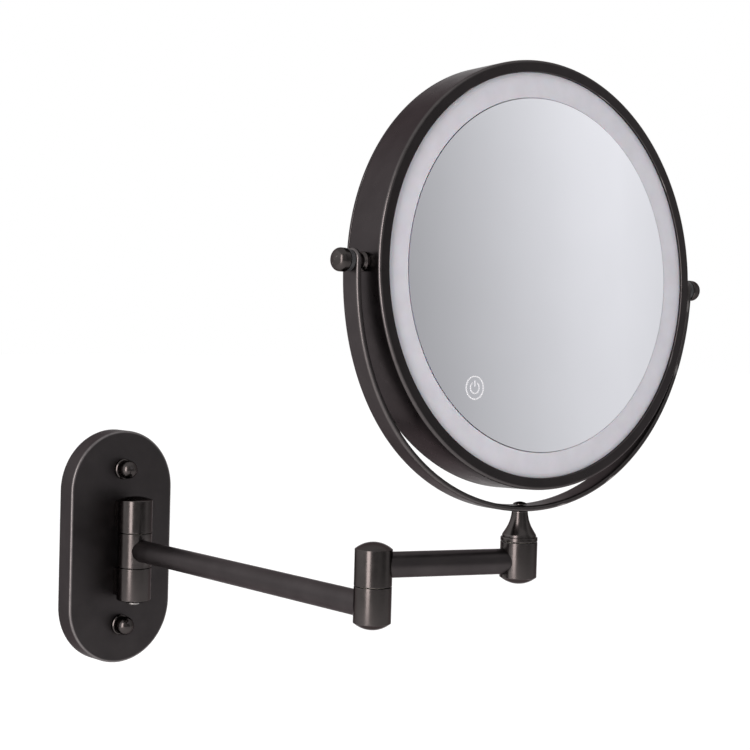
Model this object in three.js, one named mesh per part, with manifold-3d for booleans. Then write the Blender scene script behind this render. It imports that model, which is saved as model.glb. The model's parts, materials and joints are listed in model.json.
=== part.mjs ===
// Extendable wall-mounted shaving mirror with a lit, double-sided round head.
// Millimetres. +Z is up, the wall is the plane Y = 0 and the mirror stands off it towards -Y.
// The origin is the centre of the wall plate's back face.

import * as THREE from 'three';
import { mergeVertices } from 'three/addons/utils/BufferGeometryUtils.js';
import Module from 'manifold-3d';

const wasm = await Module();
wasm.setup();

// ---------- driving dimensions ----------

const GAP = 0.3;                 // air left between faces that touch on the real object
const SEAM = 0.4;                // running gap between two knuckles of a hinge

// Pose at rest, in degrees. Arm angles are measured in plan from +X.
const ARM_1_ANGLE = -93;
const ARM_2_ANGLE = -21;
const YOKE_ANGLE = -4;
const YOKE_ROLL = 1.5;           // the band sits slightly off level on its screw
const HEAD_LEAN = -2.5;          // about the pivots; negative faces the mirror slightly upwards

// Wall plate: a stamped stadium-shaped cover over a moulded backing plate
const PLATE_WIDTH = 70;
const PLATE_HEIGHT = 138;
const PLATE_DEPTH = 12.6;
const PLATE_WALL = 1.8;
const PLATE_EDGE_RADIUS = 1.0;
const BACKING_DEPTH = 6.5;
const FIXING_HEIGHT = 46.3;      // the two wall fixings, above and below the centre
const FIXING_RADIUS = 2.4;
const FIXING_BOSS_RADIUS = 7.5;
const COLLAR_RADIUS = 6.1;
const COLLAR_THICKNESS = 1.6;
const NUT_BALL_RADIUS = 5.4;
const NUT_BALL_HEIGHT = 5;       // its centre in front of the plate
const STUD_REACH = 5.2;          // how far a stud stands out of the plate
const KNUCKLE_SCREW_BORE = 2.2;
const KNUCKLE_SCREW_STOP = 5.9;  // its tip stops this far short of the hinge axis

// Hinge barrels
const WALL_AXIS_FROM_PLATE = 13.6;
const WALL_BARREL_RADIUS = 10;
const WALL_MIDDLE_HALF = 10;     // half height of the middle knuckle
const WALL_KNUCKLE_HEIGHT = 18.9;
const WALL_KNUCKLE_DOME = 2;
const WALL_PIN_RADIUS = 3.4;
const WALL_PIN_REACH = 3;        // how far the pin stands out below its knuckle's edge
const FOOT_WIDTH = 11;
const BARREL_RADIUS = 9.3;
const BARREL_FACE = 9.8;         // from an arm's centreline to its knuckle's running face
const BARREL_SHOULDER = 8.2;     // from an arm's centreline to its knuckle's domed end
const BARREL_DOME = 3.2;
const PIN_RADIUS = 4;
const PIN_DEPTH = 14.4;          // how far a pin reaches down below its knuckle's running face
const PIN_BORE_DEPTH = 15;
const BUSH_WALL = 0.8;
const WASHER_THICKNESS = 0.8;
const WASHER_RADIUS = 7.4;

// Arms
const ARM_1_LENGTH = 220;
const ARM_2_LENGTH = 78;
const TUBE_RADIUS = 6.35;
const TUBE_WALL = 1.2;
const SOCKET_DEPTH = 3.2;        // how far a tube enters its knuckle

// Yoke and swivel neck
const YOKE_INNER_RADIUS = 111.8; // at the pivots
const YOKE_DROP = 2.5;           // how much more room the bend leaves under the head than beside it
const YOKE_FULLNESS = 1.6;       // how much wider than round the bend is half way up
const YOKE_THICKNESS = 2.8;
const YOKE_WIDTH = 11.6;
const YOKE_SCREW_RADIUS = 1.5;
const YOKE_SCREW_BORE = 1.9;
const NECK_TOP_RADIUS = 3.7;
const NECK_FLARE = 5.3;
const NECK_FLARE_LENGTH = 6.1;
const HEAD_HEIGHT = 162.4;         // pivot axis above arm 1's centreline

// Head
const RIM_RADIUS = 106;
const RIM_FRONT = 11;            // front face ahead of the pivot axis
const RIM_BACK = 12.2;
const RIM_WALL = 1.5;
const OPENING_RADIUS = 100;      // clear opening inside the front lip
const RIM_EDGE_RADIUS = 1;
const MIRROR_RADIUS = 87.3;
const GLASS_THICKNESS = 3;
const DIFFUSER_THICKNESS = 2.5;
const TRAY_RADIUS = 103.9;
const REAR_BEZEL_BACK = 14.3;
const REAR_BEZEL_INNER = 94;
const REAR_BEZEL_SKIRT = 7;      // how far it reaches forwards inside the rim
const REAR_MIRROR_RADIUS = 97;
const REAR_MIRROR_THICKNESS = 2.5;
const REAR_MIRROR_SAG = 3.5;
const LED_COUNT = 6;
const LED_RING_RADIUS = 96;
const CELL_RADIUS = 5.25;        // AAA cells
const CELL_LENGTH = 44.5;
const CELL_PITCH = 11.6;
const CELL_DEPTH = 0.6;          // the cells lie this far behind the pivot axis
const CELL_ROWS = [-49.5, -61.1, -72.7];
const TOUCH_X = -46;
const TOUCH_Z = -55.4;
const TOUCH_PAD_HEIGHT = 5.2;

// Pivots
const PIVOT_BORE = 2.4;
const PIVOT_SCREW_RADIUS = 2.1;
const BOSS_RADIUS = 4.6;
const PIVOT_WASHER_RADIUS = 5;
const PIVOT_WASHER_THICKNESS = 2.2;
const KNOB_RADIUS = 5.5;
const KNOB_ROUNDING = 3.2;       // round the knob's outer edge
const KNOB_DOME = 0.35;          // how far its end bulges
const KNOB_REACH = 9.1;          // from the band's outside to the knob's end

const ROUND = 16;                // segments on small turned pieces
const BARREL_ROUND = 24;         // segments round the hinge barrels
const LARGE_ROUND = 56;          // segments round the head

// ---------- derived heights ----------

const HINGE_Y = -(PLATE_DEPTH + WALL_AXIS_FROM_PLATE);
const ARM_2_HEIGHT = 2 * BARREL_FACE + SEAM;
const NECK_BASE = ARM_2_HEIGHT + BARREL_FACE + SEAM;
const YOKE_OUTER_RADIUS = YOKE_INNER_RADIUS + YOKE_THICKNESS;
const YOKE_DEPTH = YOKE_OUTER_RADIUS + YOKE_DROP; // from the pivots down to the bend's outside
const BAND_BOTTOM = HEAD_HEIGHT - YOKE_DEPTH;
const NECK_TOP = BAND_BOTTOM - GAP;
const FOOT_HEIGHT = WALL_MIDDLE_HALF + SEAM + WALL_KNUCKLE_HEIGHT / 2;
const WASHER_SEAT = WASHER_THICKNESS + 2 * GAP - SEAM;

// Heights inside the head, measured forwards from the pivot axis.
const DIFFUSER_TOP = RIM_FRONT - RIM_WALL - GAP;
const GLASS_TOP = DIFFUSER_TOP + GAP;
const TRAY_TOP = GLASS_TOP - GLASS_THICKNESS - GAP;
const TRAY_WALL = 1.3;
const TRAY_FLOOR = 1;
const LAMP_BOARD_TOP = TRAY_FLOOR + GAP + 1.2;

// ---------- finishes ----------

function finish(color, roughness, metalness) {
  return new THREE.MeshStandardMaterial({ color, roughness, metalness });
}

const darkPlate = finish(0x383432, 0.5, 0.7);
const darkBarrel = finish(0x4a4543, 0.28, 0.85);
const darkTube = finish(0x3b3736, 0.45, 0.75);
const darkRim = finish(0x3f3b39, 0.4, 0.8);
const steel = finish(0xa8abb0, 0.35, 1.0);
const brass = finish(0xb08d57, 0.35, 1.0);
const nylon = finish(0xe8e4da, 0.6, 0.0);
const blackPlastic = finish(0x202022, 0.6, 0.0);
const whitePlastic = finish(0xf0f0f0, 0.5, 0.0);
const opal = finish(0xd9d8dd, 0.35, 0.0);
const silvered = finish(0xc6c9ce, 0.05, 1.0);
const boardWhite = finish(0xe6ebe6, 0.5, 0.0);
const boardGreen = finish(0x24603c, 0.45, 0.0);
const ledYellow = finish(0xf4e08a, 0.4, 0.0);
const cellJacket = finish(0x5a6470, 0.4, 0.3);

// ---------- helpers ----------

const degrees = THREE.MathUtils.degToRad;

function solid(geometry) {
  const bare = geometry.clone();
  bare.deleteAttribute('normal');
  bare.deleteAttribute('uv');
  const merged = mergeVertices(bare, 1e-4);
  const mesh = new wasm.Mesh({
    numProp: 3,
    vertProperties: new Float32Array(merged.attributes.position.array),
    triVerts: new Uint32Array(merged.index.array),
  });
  mesh.merge();
  return new wasm.Manifold(mesh);
}

function surface(shape) {
  const mesh = shape.getMesh();
  const geometry = new THREE.BufferGeometry();
  geometry.setAttribute('position', new THREE.BufferAttribute(new Float32Array(mesh.vertProperties), 3));
  geometry.setIndex(new THREE.BufferAttribute(new Uint32Array(mesh.triVerts), 1));
  geometry.computeVertexNormals();
  return geometry;
}

// A turned piece about Z from a profile of [radius, height] points, listed upwards on the outside.
function turned(profile, segments = ROUND) {
  const points = profile.map(([radius, height]) => new THREE.Vector2(radius, height));
  return new THREE.LatheGeometry(points, segments).rotateX(Math.PI / 2);
}

// A ring of rectangular section about Z.
function ring(inner, outer, low, high, segments = ROUND) {
  return turned([[inner, low], [outer, low], [outer, high], [inner, high], [inner, low]], segments);
}

function rod(radius, low, high, segments = ROUND) {
  return turned([[0, low], [radius, low], [radius, high], [0, high]], segments);
}

// A box centred on the given point.
function block(width, depth, height, x = 0, y = 0, z = 0) {
  return new THREE.BoxGeometry(width, depth, height).translate(x, y, z);
}

// Turns a piece made about Z so that its own +Z points along X, or along -Y.
const alongX = (geometry) => geometry.rotateY(Math.PI / 2);
const towardsFront = (geometry) => geometry.rotateX(Math.PI / 2);

function cut(body, ...tools) {
  return tools.reduce((left, tool) => left.subtract(solid(tool)), solid(body));
}

// Points of a spherical cap of the given base radius and height, from its base up to the axis.
function cap(radius, height, base, steps = 4) {
  const sphere = (radius * radius + height * height) / (2 * height);
  const spread = Math.asin(Math.min(1, radius / sphere));
  const points = [];
  for (let i = 0; i <= steps; i += 1) {
    const angle = spread * (1 - i / steps);
    points.push([sphere * Math.sin(angle), base + height - sphere * (1 - Math.cos(angle))]);
  }
  points[steps][0] = 0;
  return points;
}

function piece(group, name, geometry, material) {
  const mesh = new THREE.Mesh(geometry, material);
  mesh.name = name;
  group.add(mesh);
}

function frame(parent, position, rotation = [0, 0, 0]) {
  const group = new THREE.Group();
  group.position.set(...position);
  group.rotation.set(...rotation.map(degrees));
  parent.add(group);
  return group;
}

// ---------- wall plate ----------

function stadium(width, height) {
  const radius = width / 2;
  const half = height / 2 - radius;
  const shape = new THREE.Shape();
  shape.moveTo(radius, -half);
  shape.lineTo(radius, half);
  shape.absarc(0, half, radius, 0, Math.PI, false);
  shape.lineTo(-radius, -half);
  shape.absarc(0, -half, radius, Math.PI, 2 * Math.PI, false);
  return shape;
}

// A stadium slab standing on the wall side at y = back and reaching forwards to y = front.
function stadiumSlab(inset, back, front, bevel = 0) {
  const shape = stadium(PLATE_WIDTH - 2 * inset - 2 * bevel, PLATE_HEIGHT - 2 * inset - 2 * bevel);
  const slab = new THREE.ExtrudeGeometry(shape, {
    depth: back - front - 2 * bevel,
    bevelEnabled: bevel > 0,
    bevelThickness: bevel,
    bevelSize: bevel,
    bevelSegments: 2,
    curveSegments: 14,
  });
  return slab.rotateX(Math.PI / 2).translate(0, back - bevel, 0);
}

const acrossPlate = (radius, z, back, front) => towardsFront(rod(radius, -back, -front)).translate(0, 0, z);

function wallPlate() {
  const bevel = PLATE_EDGE_RADIUS;
  const edge = solid(stadiumSlab(0, bevel, -PLATE_DEPTH, bevel));
  const behindWall = block(2 * PLATE_WIDTH, 2 * bevel, 2 * PLATE_HEIGHT, 0, bevel, 0);
  const hollow = stadiumSlab(PLATE_WALL, bevel, PLATE_WALL - PLATE_DEPTH);
  const through = (radius, z) => acrossPlate(radius, z, 1, -PLATE_DEPTH - 1);
  const holes = [FIXING_HEIGHT, -FIXING_HEIGHT].map((z) => through(FIXING_RADIUS + GAP, z));
  const screwHoles = [FOOT_HEIGHT, -FOOT_HEIGHT].map((z) => through(KNUCKLE_SCREW_BORE, z));
  return [behindWall, hollow, ...holes, ...screwHoles]
    .reduce((left, tool) => left.subtract(solid(tool)), edge);
}

function backingPlate() {
  const inset = PLATE_WALL + GAP;
  const shape = solid(stadiumSlab(inset, 0, -BACKING_DEPTH));
  const pocket = block(36, 5, 16);
  const fixings = [FIXING_HEIGHT, -FIXING_HEIGHT];
  const bosses = fixings.map((z) => acrossPlate(FIXING_BOSS_RADIUS, z, -1, inset - PLATE_DEPTH));
  const holes = fixings.map((z) => acrossPlate(FIXING_RADIUS + GAP, z, 1, -PLATE_DEPTH));
  const pockets = [-20, 0, 20].map((z) => pocket.clone().translate(0, -BACKING_DEPTH, z));
  const raised = bosses.reduce((left, boss) => left.add(solid(boss)), shape);
  return [...holes, ...pockets].reduce((left, tool) => left.subtract(solid(tool)), raised);
}

// Threaded stud from the wall fixing to the inside of its cap nut.
function wallStud() {
  return towardsFront(rod(FIXING_RADIUS, 0.5, PLATE_DEPTH + STUD_REACH, 16));
}

// Ball-shaped nut that sits straight on its collar.
function capNut() {
  const base = PLATE_DEPTH + 2 * GAP + COLLAR_THICKNESS;
  const centre = PLATE_DEPTH + NUT_BALL_HEIGHT;
  const bore = FIXING_RADIUS + GAP;
  const start = Math.acos((centre - base) / NUT_BALL_RADIUS);
  const profile = [[bore, base]];
  const steps = 6;
  for (let i = 0; i <= steps; i += 1) {
    const angle = (Math.PI - start) * (1 - i / steps);
    profile.push([NUT_BALL_RADIUS * Math.sin(angle), centre + NUT_BALL_RADIUS * Math.cos(angle)]);
  }
  profile[profile.length - 1][0] = 0;
  profile.push([0, centre + 1.5], [bore, centre + 0.6], [bore, base]);
  return towardsFront(turned(profile));
}

function fixingCollar() {
  const low = PLATE_DEPTH + GAP;
  const high = low + COLLAR_THICKNESS;
  const inner = FIXING_RADIUS + GAP;
  const outer = COLLAR_RADIUS;
  return towardsFront(turned([
    [inner, low], [outer, low], [outer, high - 0.6], [outer - 0.5, high], [inner, high], [inner, low],
  ]));
}

// Fixed knuckle of the wall hinge, made upright above the middle knuckle, with its foot on the plate.
function fixedKnuckle() {
  const low = WALL_MIDDLE_HALF + SEAM;
  const high = low + WALL_KNUCKLE_HEIGHT;
  const top = cap(WALL_BARREL_RADIUS, WALL_KNUCKLE_DOME, high);
  const barrel = solid(turned([[0, low], [WALL_BARREL_RADIUS, low], ...top], BARREL_ROUND));
  const footDepth = WALL_AXIS_FROM_PLATE - GAP;
  const foot = solid(block(FOOT_WIDTH, footDepth, WALL_KNUCKLE_HEIGHT - 3, 0, footDepth / 2, FOOT_HEIGHT));
  return barrel.add(foot);
}

function knuckleScrewBore() {
  const bore = rod(KNUCKLE_SCREW_BORE, -WALL_AXIS_FROM_PLATE - 1, -KNUCKLE_SCREW_STOP + GAP, 16);
  return towardsFront(bore).translate(0, 0, FOOT_HEIGHT);
}

function upperFixedKnuckle() {
  const pinBore = rod(WALL_PIN_RADIUS + GAP, 0, WALL_MIDDLE_HALF + 15);
  return fixedKnuckle().subtract(solid(pinBore)).subtract(solid(knuckleScrewBore()));
}

function lowerFixedKnuckle() {
  const pinBore = rod(WALL_PIN_RADIUS + GAP, 0, 60);
  return fixedKnuckle().subtract(solid(pinBore)).subtract(solid(knuckleScrewBore())).mirror([0, 0, 1]);
}

// Its flat, bevelled end shows below the lower knuckle.
function wallHingePin() {
  const low = -(WALL_MIDDLE_HALF + SEAM + WALL_KNUCKLE_HEIGHT + WALL_PIN_REACH);
  const bevel = 0.4;
  const high = WALL_MIDDLE_HALF + 14;
  return turned([[0, low], [WALL_PIN_RADIUS - bevel, low], [WALL_PIN_RADIUS, low + bevel],
    [WALL_PIN_RADIUS, high], [0, high]], BARREL_ROUND);
}

// Pan-head screw that holds a fixed knuckle from inside the wall plate.
function knuckleScrew(z) {
  const head = PLATE_DEPTH - PLATE_WALL - GAP;
  const tip = PLATE_DEPTH + WALL_AXIS_FROM_PLATE - KNUCKLE_SCREW_STOP;
  return towardsFront(turned([[0, head - 2.4], [3.2, head - 2.4], [3.8, head - 1.6], [3.8, head],
    [1.9, head], [1.9, tip], [0, tip]], 16)).translate(0, 0, z);
}

// ---------- arms ----------

function tubeSocket(barrelRadius) {
  return alongX(rod(TUBE_RADIUS + GAP, barrelRadius - SOCKET_DEPTH - GAP, barrelRadius + 5));
}

function armTube(length, startRadius, endRadius) {
  const start = startRadius - SOCKET_DEPTH;
  return alongX(ring(TUBE_RADIUS - TUBE_WALL, TUBE_RADIUS, start, length - (endRadius - SOCKET_DEPTH)));
}

// Knuckle at the end of an arm: flat running face above the centreline, dome below it.
// The arm leaves along +X. seat is the depth of the washer seat sunk in the running face.
function armKnuckle(boreRadius, boreDepth, seat) {
  const dome = cap(BARREL_RADIUS, BARREL_DOME, 0)
    .map(([radius, height]) => [radius, -BARREL_SHOULDER - height]);
  const body = turned([...dome.reverse(), [BARREL_RADIUS, BARREL_FACE], [0, BARREL_FACE]], BARREL_ROUND);
  const tools = [tubeSocket(BARREL_RADIUS), rod(boreRadius, BARREL_FACE - boreDepth, BARREL_FACE + 1)];
  if (seat > 0) tools.push(rod(WASHER_RADIUS + GAP, BARREL_FACE - seat, BARREL_FACE + 1));
  return cut(body, ...tools);
}

// Knuckle with a bushed bore and a washer seat, and the bush that goes in it.
const bushedKnuckle = () => armKnuckle(PIN_RADIUS + BUSH_WALL + 2 * GAP, PIN_BORE_DEPTH, WASHER_SEAT);

function knuckleBush() {
  const inner = PIN_RADIUS + GAP;
  const low = BARREL_FACE - PIN_BORE_DEPTH + 0.5;
  return ring(inner, inner + BUSH_WALL, low, BARREL_FACE - WASHER_SEAT - GAP);
}

function wallMiddleKnuckle() {
  const half = WALL_MIDDLE_HALF;
  const bore = WALL_PIN_RADIUS + BUSH_WALL + 2 * GAP;
  return cut(
    rod(WALL_BARREL_RADIUS, -half, half, BARREL_ROUND),
    rod(bore, -half - 1, half + 1),
    rod(WASHER_RADIUS + GAP, half - WASHER_SEAT, half + 1),
    rod(WASHER_RADIUS + GAP, -half - 1, WASHER_SEAT - half),
    tubeSocket(WALL_BARREL_RADIUS),
  );
}

// Friction washer whose upper face is one gap below the knuckle above it.
function frictionWasher(boreRadius, face) {
  const top = face + SEAM - GAP;
  return ring(boreRadius, WASHER_RADIUS, top - WASHER_THICKNESS, top);
}

// ---------- yoke ----------

function swivelNeck() {
  const base = NECK_BASE;
  const bead = 1.4;
  const profile = [[0, base], [BARREL_RADIUS - 0.5, base], [BARREL_RADIUS, base + 0.5],
    [BARREL_RADIUS, base + bead - 0.4], [BARREL_RADIUS - 0.4, base + bead]];
  const steps = 8;
  for (let i = 0; i <= steps; i += 1) {
    const above = ((NECK_TOP - base - bead) * i) / steps;
    const flare = NECK_FLARE * Math.exp(-((above / NECK_FLARE_LENGTH) ** 1.4));
    profile.push([Math.min(NECK_TOP_RADIUS + flare, BARREL_RADIUS - 0.5), base + bead + above]);
  }
  profile.push([0, NECK_TOP]);
  const screwBore = rod(YOKE_SCREW_RADIUS + GAP, NECK_TOP - 8, NECK_TOP + 1, 16);
  const pinBore = rod(PIN_RADIUS + GAP, base - 1, base + 4);
  return cut(turned(profile, BARREL_ROUND), screwBore, pinBore);
}

// Points of the bent strip's edge view, pivot to pivot under the head, slightly fuller than a half circle.
function bandEdge(radius) {
  const overrun = degrees(4);
  const steps = 48;
  const points = [];
  for (let i = 0; i <= steps; i += 1) {
    const angle = Math.PI - overrun + ((Math.PI + 2 * overrun) * i) / steps;
    const reach = radius + YOKE_DROP * Math.sin(angle) ** 2 + YOKE_FULLNESS * Math.sin(2 * angle) ** 2;
    points.push(new THREE.Vector2(reach * Math.cos(angle), reach * Math.sin(angle)));
  }
  return points;
}

// The strip runs from pivot to pivot under the head; its ends are round about the pivots.
function yokeBand() {
  const half = YOKE_WIDTH / 2;
  const reach = YOKE_OUTER_RADIUS + 5;
  const shape = new THREE.Shape([...bandEdge(YOKE_OUTER_RADIUS), ...bandEdge(YOKE_INNER_RADIUS).reverse()]);
  const strip = new THREE.ExtrudeGeometry(shape, { depth: YOKE_WIDTH, bevelEnabled: false });
  const bent = solid(strip.rotateX(Math.PI / 2).translate(0, half, 0));
  const aboveEnds = solid(block(2 * reach, 4 * half, 4 * half, 0, 0, 2 * half));
  const roundEnds = solid(alongX(rod(half, -reach - 1, reach + 1)));
  const pivotBore = solid(alongX(rod(PIVOT_BORE, -reach, reach, 24)));
  const screwBore = solid(rod(YOKE_SCREW_BORE, -reach, 5 - YOKE_INNER_RADIUS, 16));
  return bent.subtract(aboveEnds.subtract(roundEnds)).subtract(pivotBore).subtract(screwBore);
}

function yokeScrew() {
  const shank = YOKE_SCREW_RADIUS;
  const seat = BAND_BOTTOM + YOKE_THICKNESS + GAP + 0.1;
  const tip = NECK_TOP - 6.5;
  return turned([[0, tip], [shank, tip], [shank, seat], ...cap(3.7, 1.4, seat)], 24);
}

// ---------- head ----------
// Head pieces are made with the front face upwards along +Z and then turned to face -Y.

function headRim() {
  const edge = RIM_EDGE_RADIUS;
  const front = RIM_FRONT;
  const corner = [0, 1, 2, 3].map((i) => {
    const angle = (i * Math.PI) / 6;
    return [RIM_RADIUS - edge + edge * Math.cos(angle), front - edge + edge * Math.sin(angle)];
  });
  const profile = [[RIM_RADIUS - RIM_WALL, -RIM_BACK], [RIM_RADIUS, -RIM_BACK], ...corner,
    [OPENING_RADIUS, front], [OPENING_RADIUS, front - RIM_WALL], [RIM_RADIUS - RIM_WALL, front - RIM_WALL],
    [RIM_RADIUS - RIM_WALL, -RIM_BACK]];
  const shell = towardsFront(turned(profile, LARGE_ROUND));
  return cut(shell, alongX(rod(PIVOT_BORE, -RIM_RADIUS - 5, RIM_RADIUS + 5, 24)));
}

function diffuserRing() {
  const low = DIFFUSER_TOP - DIFFUSER_THICKNESS;
  return towardsFront(ring(MIRROR_RADIUS + GAP, TRAY_RADIUS, low, DIFFUSER_TOP, LARGE_ROUND));
}

function frontMirror() {
  const top = GLASS_TOP;
  return towardsFront(turned([[0, top - GLASS_THICKNESS], [MIRROR_RADIUS, top - GLASS_THICKNESS],
    [MIRROR_RADIUS, top - 0.3], [MIRROR_RADIUS - 0.3, top], [0, top]], LARGE_ROUND));
}

// White moulded tray: carries the glass on its middle and the lamp board in the trough round it.
function lampTray() {
  const wall = TRAY_WALL;
  const inner = MIRROR_RADIUS - 1.2;
  const edge = DIFFUSER_TOP - DIFFUSER_THICKNESS - GAP;
  const tray = towardsFront(turned([
    [0, TRAY_TOP - wall], [inner - wall, TRAY_TOP - wall], [inner - wall, TRAY_FLOOR - wall],
    [TRAY_RADIUS, TRAY_FLOOR - wall], [TRAY_RADIUS, edge], [TRAY_RADIUS - wall, edge],
    [TRAY_RADIUS - wall, TRAY_FLOOR], [inner, TRAY_FLOOR], [inner, TRAY_TOP], [0, TRAY_TOP],
  ], LARGE_ROUND));
  const touchHole = towardsFront(rod(5.5, TRAY_TOP - 5, TRAY_TOP + 2)).translate(TOUCH_X, 0, TOUCH_Z);
  const nutPocket = [1, -1].map((side) => block(8, 12, 12, side * (TRAY_RADIUS - 2), 0, 0));
  return cut(tray, touchHole, ...nutPocket);
}

function lampBoard() {
  const inner = LED_RING_RADIUS - 4.5;
  const outer = LED_RING_RADIUS + 3;
  return towardsFront(ring(inner, outer, LAMP_BOARD_TOP - 1.2, LAMP_BOARD_TOP, LARGE_ROUND));
}

function lamp(index) {
  const angle = ((index + 0.5) * 2 * Math.PI) / LED_COUNT;
  const low = LAMP_BOARD_TOP + GAP;
  return block(3.5, 1.4, 2.8, 0, -(low + 0.7), LED_RING_RADIUS - 1).rotateY(angle);
}

// Gently dished glass, hollow side out. The sag is measured at its rim.
function rearMirror() {
  const rim = RIM_BACK;
  const steps = 4;
  const dish = (radius) => rim - REAR_MIRROR_SAG * (1 - (radius / REAR_MIRROR_RADIUS) ** 2);
  const outer = [];
  const inner = [];
  for (let i = 0; i <= steps; i += 1) {
    const radius = (REAR_MIRROR_RADIUS * i) / steps;
    outer.push([radius, -dish(radius)]);
    inner.push([radius, REAR_MIRROR_THICKNESS - dish(radius)]);
  }
  return towardsFront(turned([...outer, ...inner.reverse()], LARGE_ROUND));
}

// Push-fit ring that holds the rear glass: a lip over the glass and a skirt inside the rim.
function rearBezel() {
  const back = REAR_BEZEL_BACK;
  const inner = REAR_BEZEL_INNER;
  const lipFront = RIM_BACK + GAP;
  const skirt = RIM_RADIUS - RIM_WALL - GAP;
  const skirtEnd = REAR_BEZEL_SKIRT - RIM_BACK;
  const profile = [[inner, -lipFront], [inner, 0.5 - back], [inner + 0.5, -back], [RIM_RADIUS - 1, -back],
    [RIM_RADIUS, 0.8 - back], [RIM_RADIUS, -lipFront], [skirt, -lipFront], [skirt, skirtEnd],
    [skirt - 1.6, skirtEnd], [skirt - 1.6, -lipFront], [inner, -lipFront]];
  return towardsFront(turned(profile, LARGE_ROUND));
}

// Tray for the three cells, with two ribs between them.
function batteryHolder() {
  const middle = CELL_ROWS[1];
  const wall = 1.2;
  const inside = CELL_LENGTH + 5.4;
  const height = 3 * CELL_PITCH - 0.9;
  const body = block(inside + 2 * wall, 9, height + 2 * wall, 0, 0, middle);
  const wells = CELL_ROWS.map((z) => block(inside, 11, CELL_PITCH - 0.9, 0, 0, z));
  const ends = [1, -1].map((side) => block(2.2, 7.8, height, side * (inside / 2 - 1.1), 0, middle));
  return cut(body, ...wells, ...ends);
}

function cell(row, flip) {
  const nipple = 0.9;
  const half = CELL_LENGTH / 2;
  const body = alongX(turned([[0, -half], [CELL_RADIUS - 0.5, -half], [CELL_RADIUS, -half + 0.5],
    [CELL_RADIUS, half - nipple - 0.5], [CELL_RADIUS - 0.5, half - nipple], [1.9, half - nipple],
    [1.9, half], [0, half]], 24));
  if (flip) body.rotateZ(Math.PI);
  return body.translate(0, CELL_DEPTH, CELL_ROWS[row]);
}

function cellContact(side) {
  return block(0.5, 7, 3 * CELL_PITCH - 2, side * (CELL_LENGTH / 2 + 1.3), 0, CELL_ROWS[1]);
}

function driverBoard() {
  return block(44, 1.4, 26, 0, -(TRAY_TOP - TRAY_WALL - GAP - 3), 46);
}

function touchPad() {
  return towardsFront(rod(4.6, TRAY_TOP - TOUCH_PAD_HEIGHT, TRAY_TOP, 24)).translate(TOUCH_X, 0, TOUCH_Z);
}

// ---------- pivots, made about X on the right-hand side ----------

function pivotBoss() {
  const low = RIM_RADIUS + GAP + 0.1;
  const high = YOKE_INNER_RADIUS - GAP;
  const bore = PIVOT_SCREW_RADIUS + GAP;
  const waist = BOSS_RADIUS - 1;
  return alongX(turned([[bore, low], [BOSS_RADIUS, low], [BOSS_RADIUS, low + 1.2], [waist, low + 2.4],
    [waist, high - 1.4], [waist + 0.5, high - 0.7], [waist + 0.5, high], [bore, high], [bore, low]]));
}

function pivotWasher() {
  const low = YOKE_OUTER_RADIUS + GAP;
  return alongX(ring(PIVOT_BORE, PIVOT_WASHER_RADIUS, low, low + PIVOT_WASHER_THICKNESS));
}

// Round-headed screw that passes through the yoke end and the boss into a nut inside the rim.
function pivotKnob() {
  const seat = YOKE_OUTER_RADIUS + 2 * GAP + PIVOT_WASHER_THICKNESS;
  const end = YOKE_OUTER_RADIUS + KNOB_REACH;
  const shank = PIVOT_SCREW_RADIUS;
  const tip = 99.6;
  const collar = PIVOT_WASHER_RADIUS;
  const profile = [[0, tip], [shank, tip], [shank, seat], [collar, seat], [KNOB_RADIUS, seat + 0.5]];
  const steps = 5;
  for (let i = 0; i <= steps; i += 1) {
    const angle = (Math.PI / 2) * (i / steps);
    const out = KNOB_ROUNDING * (1 - Math.sin(angle));
    profile.push([KNOB_RADIUS - KNOB_ROUNDING * (1 - Math.cos(angle)), end - KNOB_DOME - out]);
  }
  profile.push([0, end]);
  return alongX(turned(profile));
}

function pivotNut() {
  return cut(alongX(rod(4.4, 100, 102.4, 6)), alongX(rod(PIVOT_SCREW_RADIUS + GAP, 99, 103)));
}

const onLeft = (geometry) => geometry.rotateZ(Math.PI);

// ---------- assembly ----------

const mirror = new THREE.Group();

function addWallBase(root) {
  piece(root, 'wall_plate', surface(wallPlate()), darkPlate);
  piece(root, 'backing_plate', surface(backingPlate()), blackPlastic);
  for (const [side, z] of [['upper', FIXING_HEIGHT], ['lower', -FIXING_HEIGHT]]) {
    piece(root, `wall_stud_${side}`, wallStud().translate(0, 0, z), steel);
    piece(root, `fixing_collar_${side}`, fixingCollar().translate(0, 0, z), darkBarrel);
    piece(root, `cap_nut_${side}`, capNut().translate(0, 0, z), darkBarrel);
  }
  piece(root, 'knuckle_screw_upper', knuckleScrew(FOOT_HEIGHT), steel);
  piece(root, 'knuckle_screw_lower', knuckleScrew(-FOOT_HEIGHT), steel);
  const hinge = frame(root, [0, HINGE_Y, 0]);
  piece(hinge, 'hinge_knuckle_upper', surface(upperFixedKnuckle()), darkBarrel);
  piece(hinge, 'hinge_knuckle_lower', surface(lowerFixedKnuckle()), darkBarrel);
  piece(hinge, 'wall_hinge_pin', wallHingePin(), steel);
}

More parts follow.
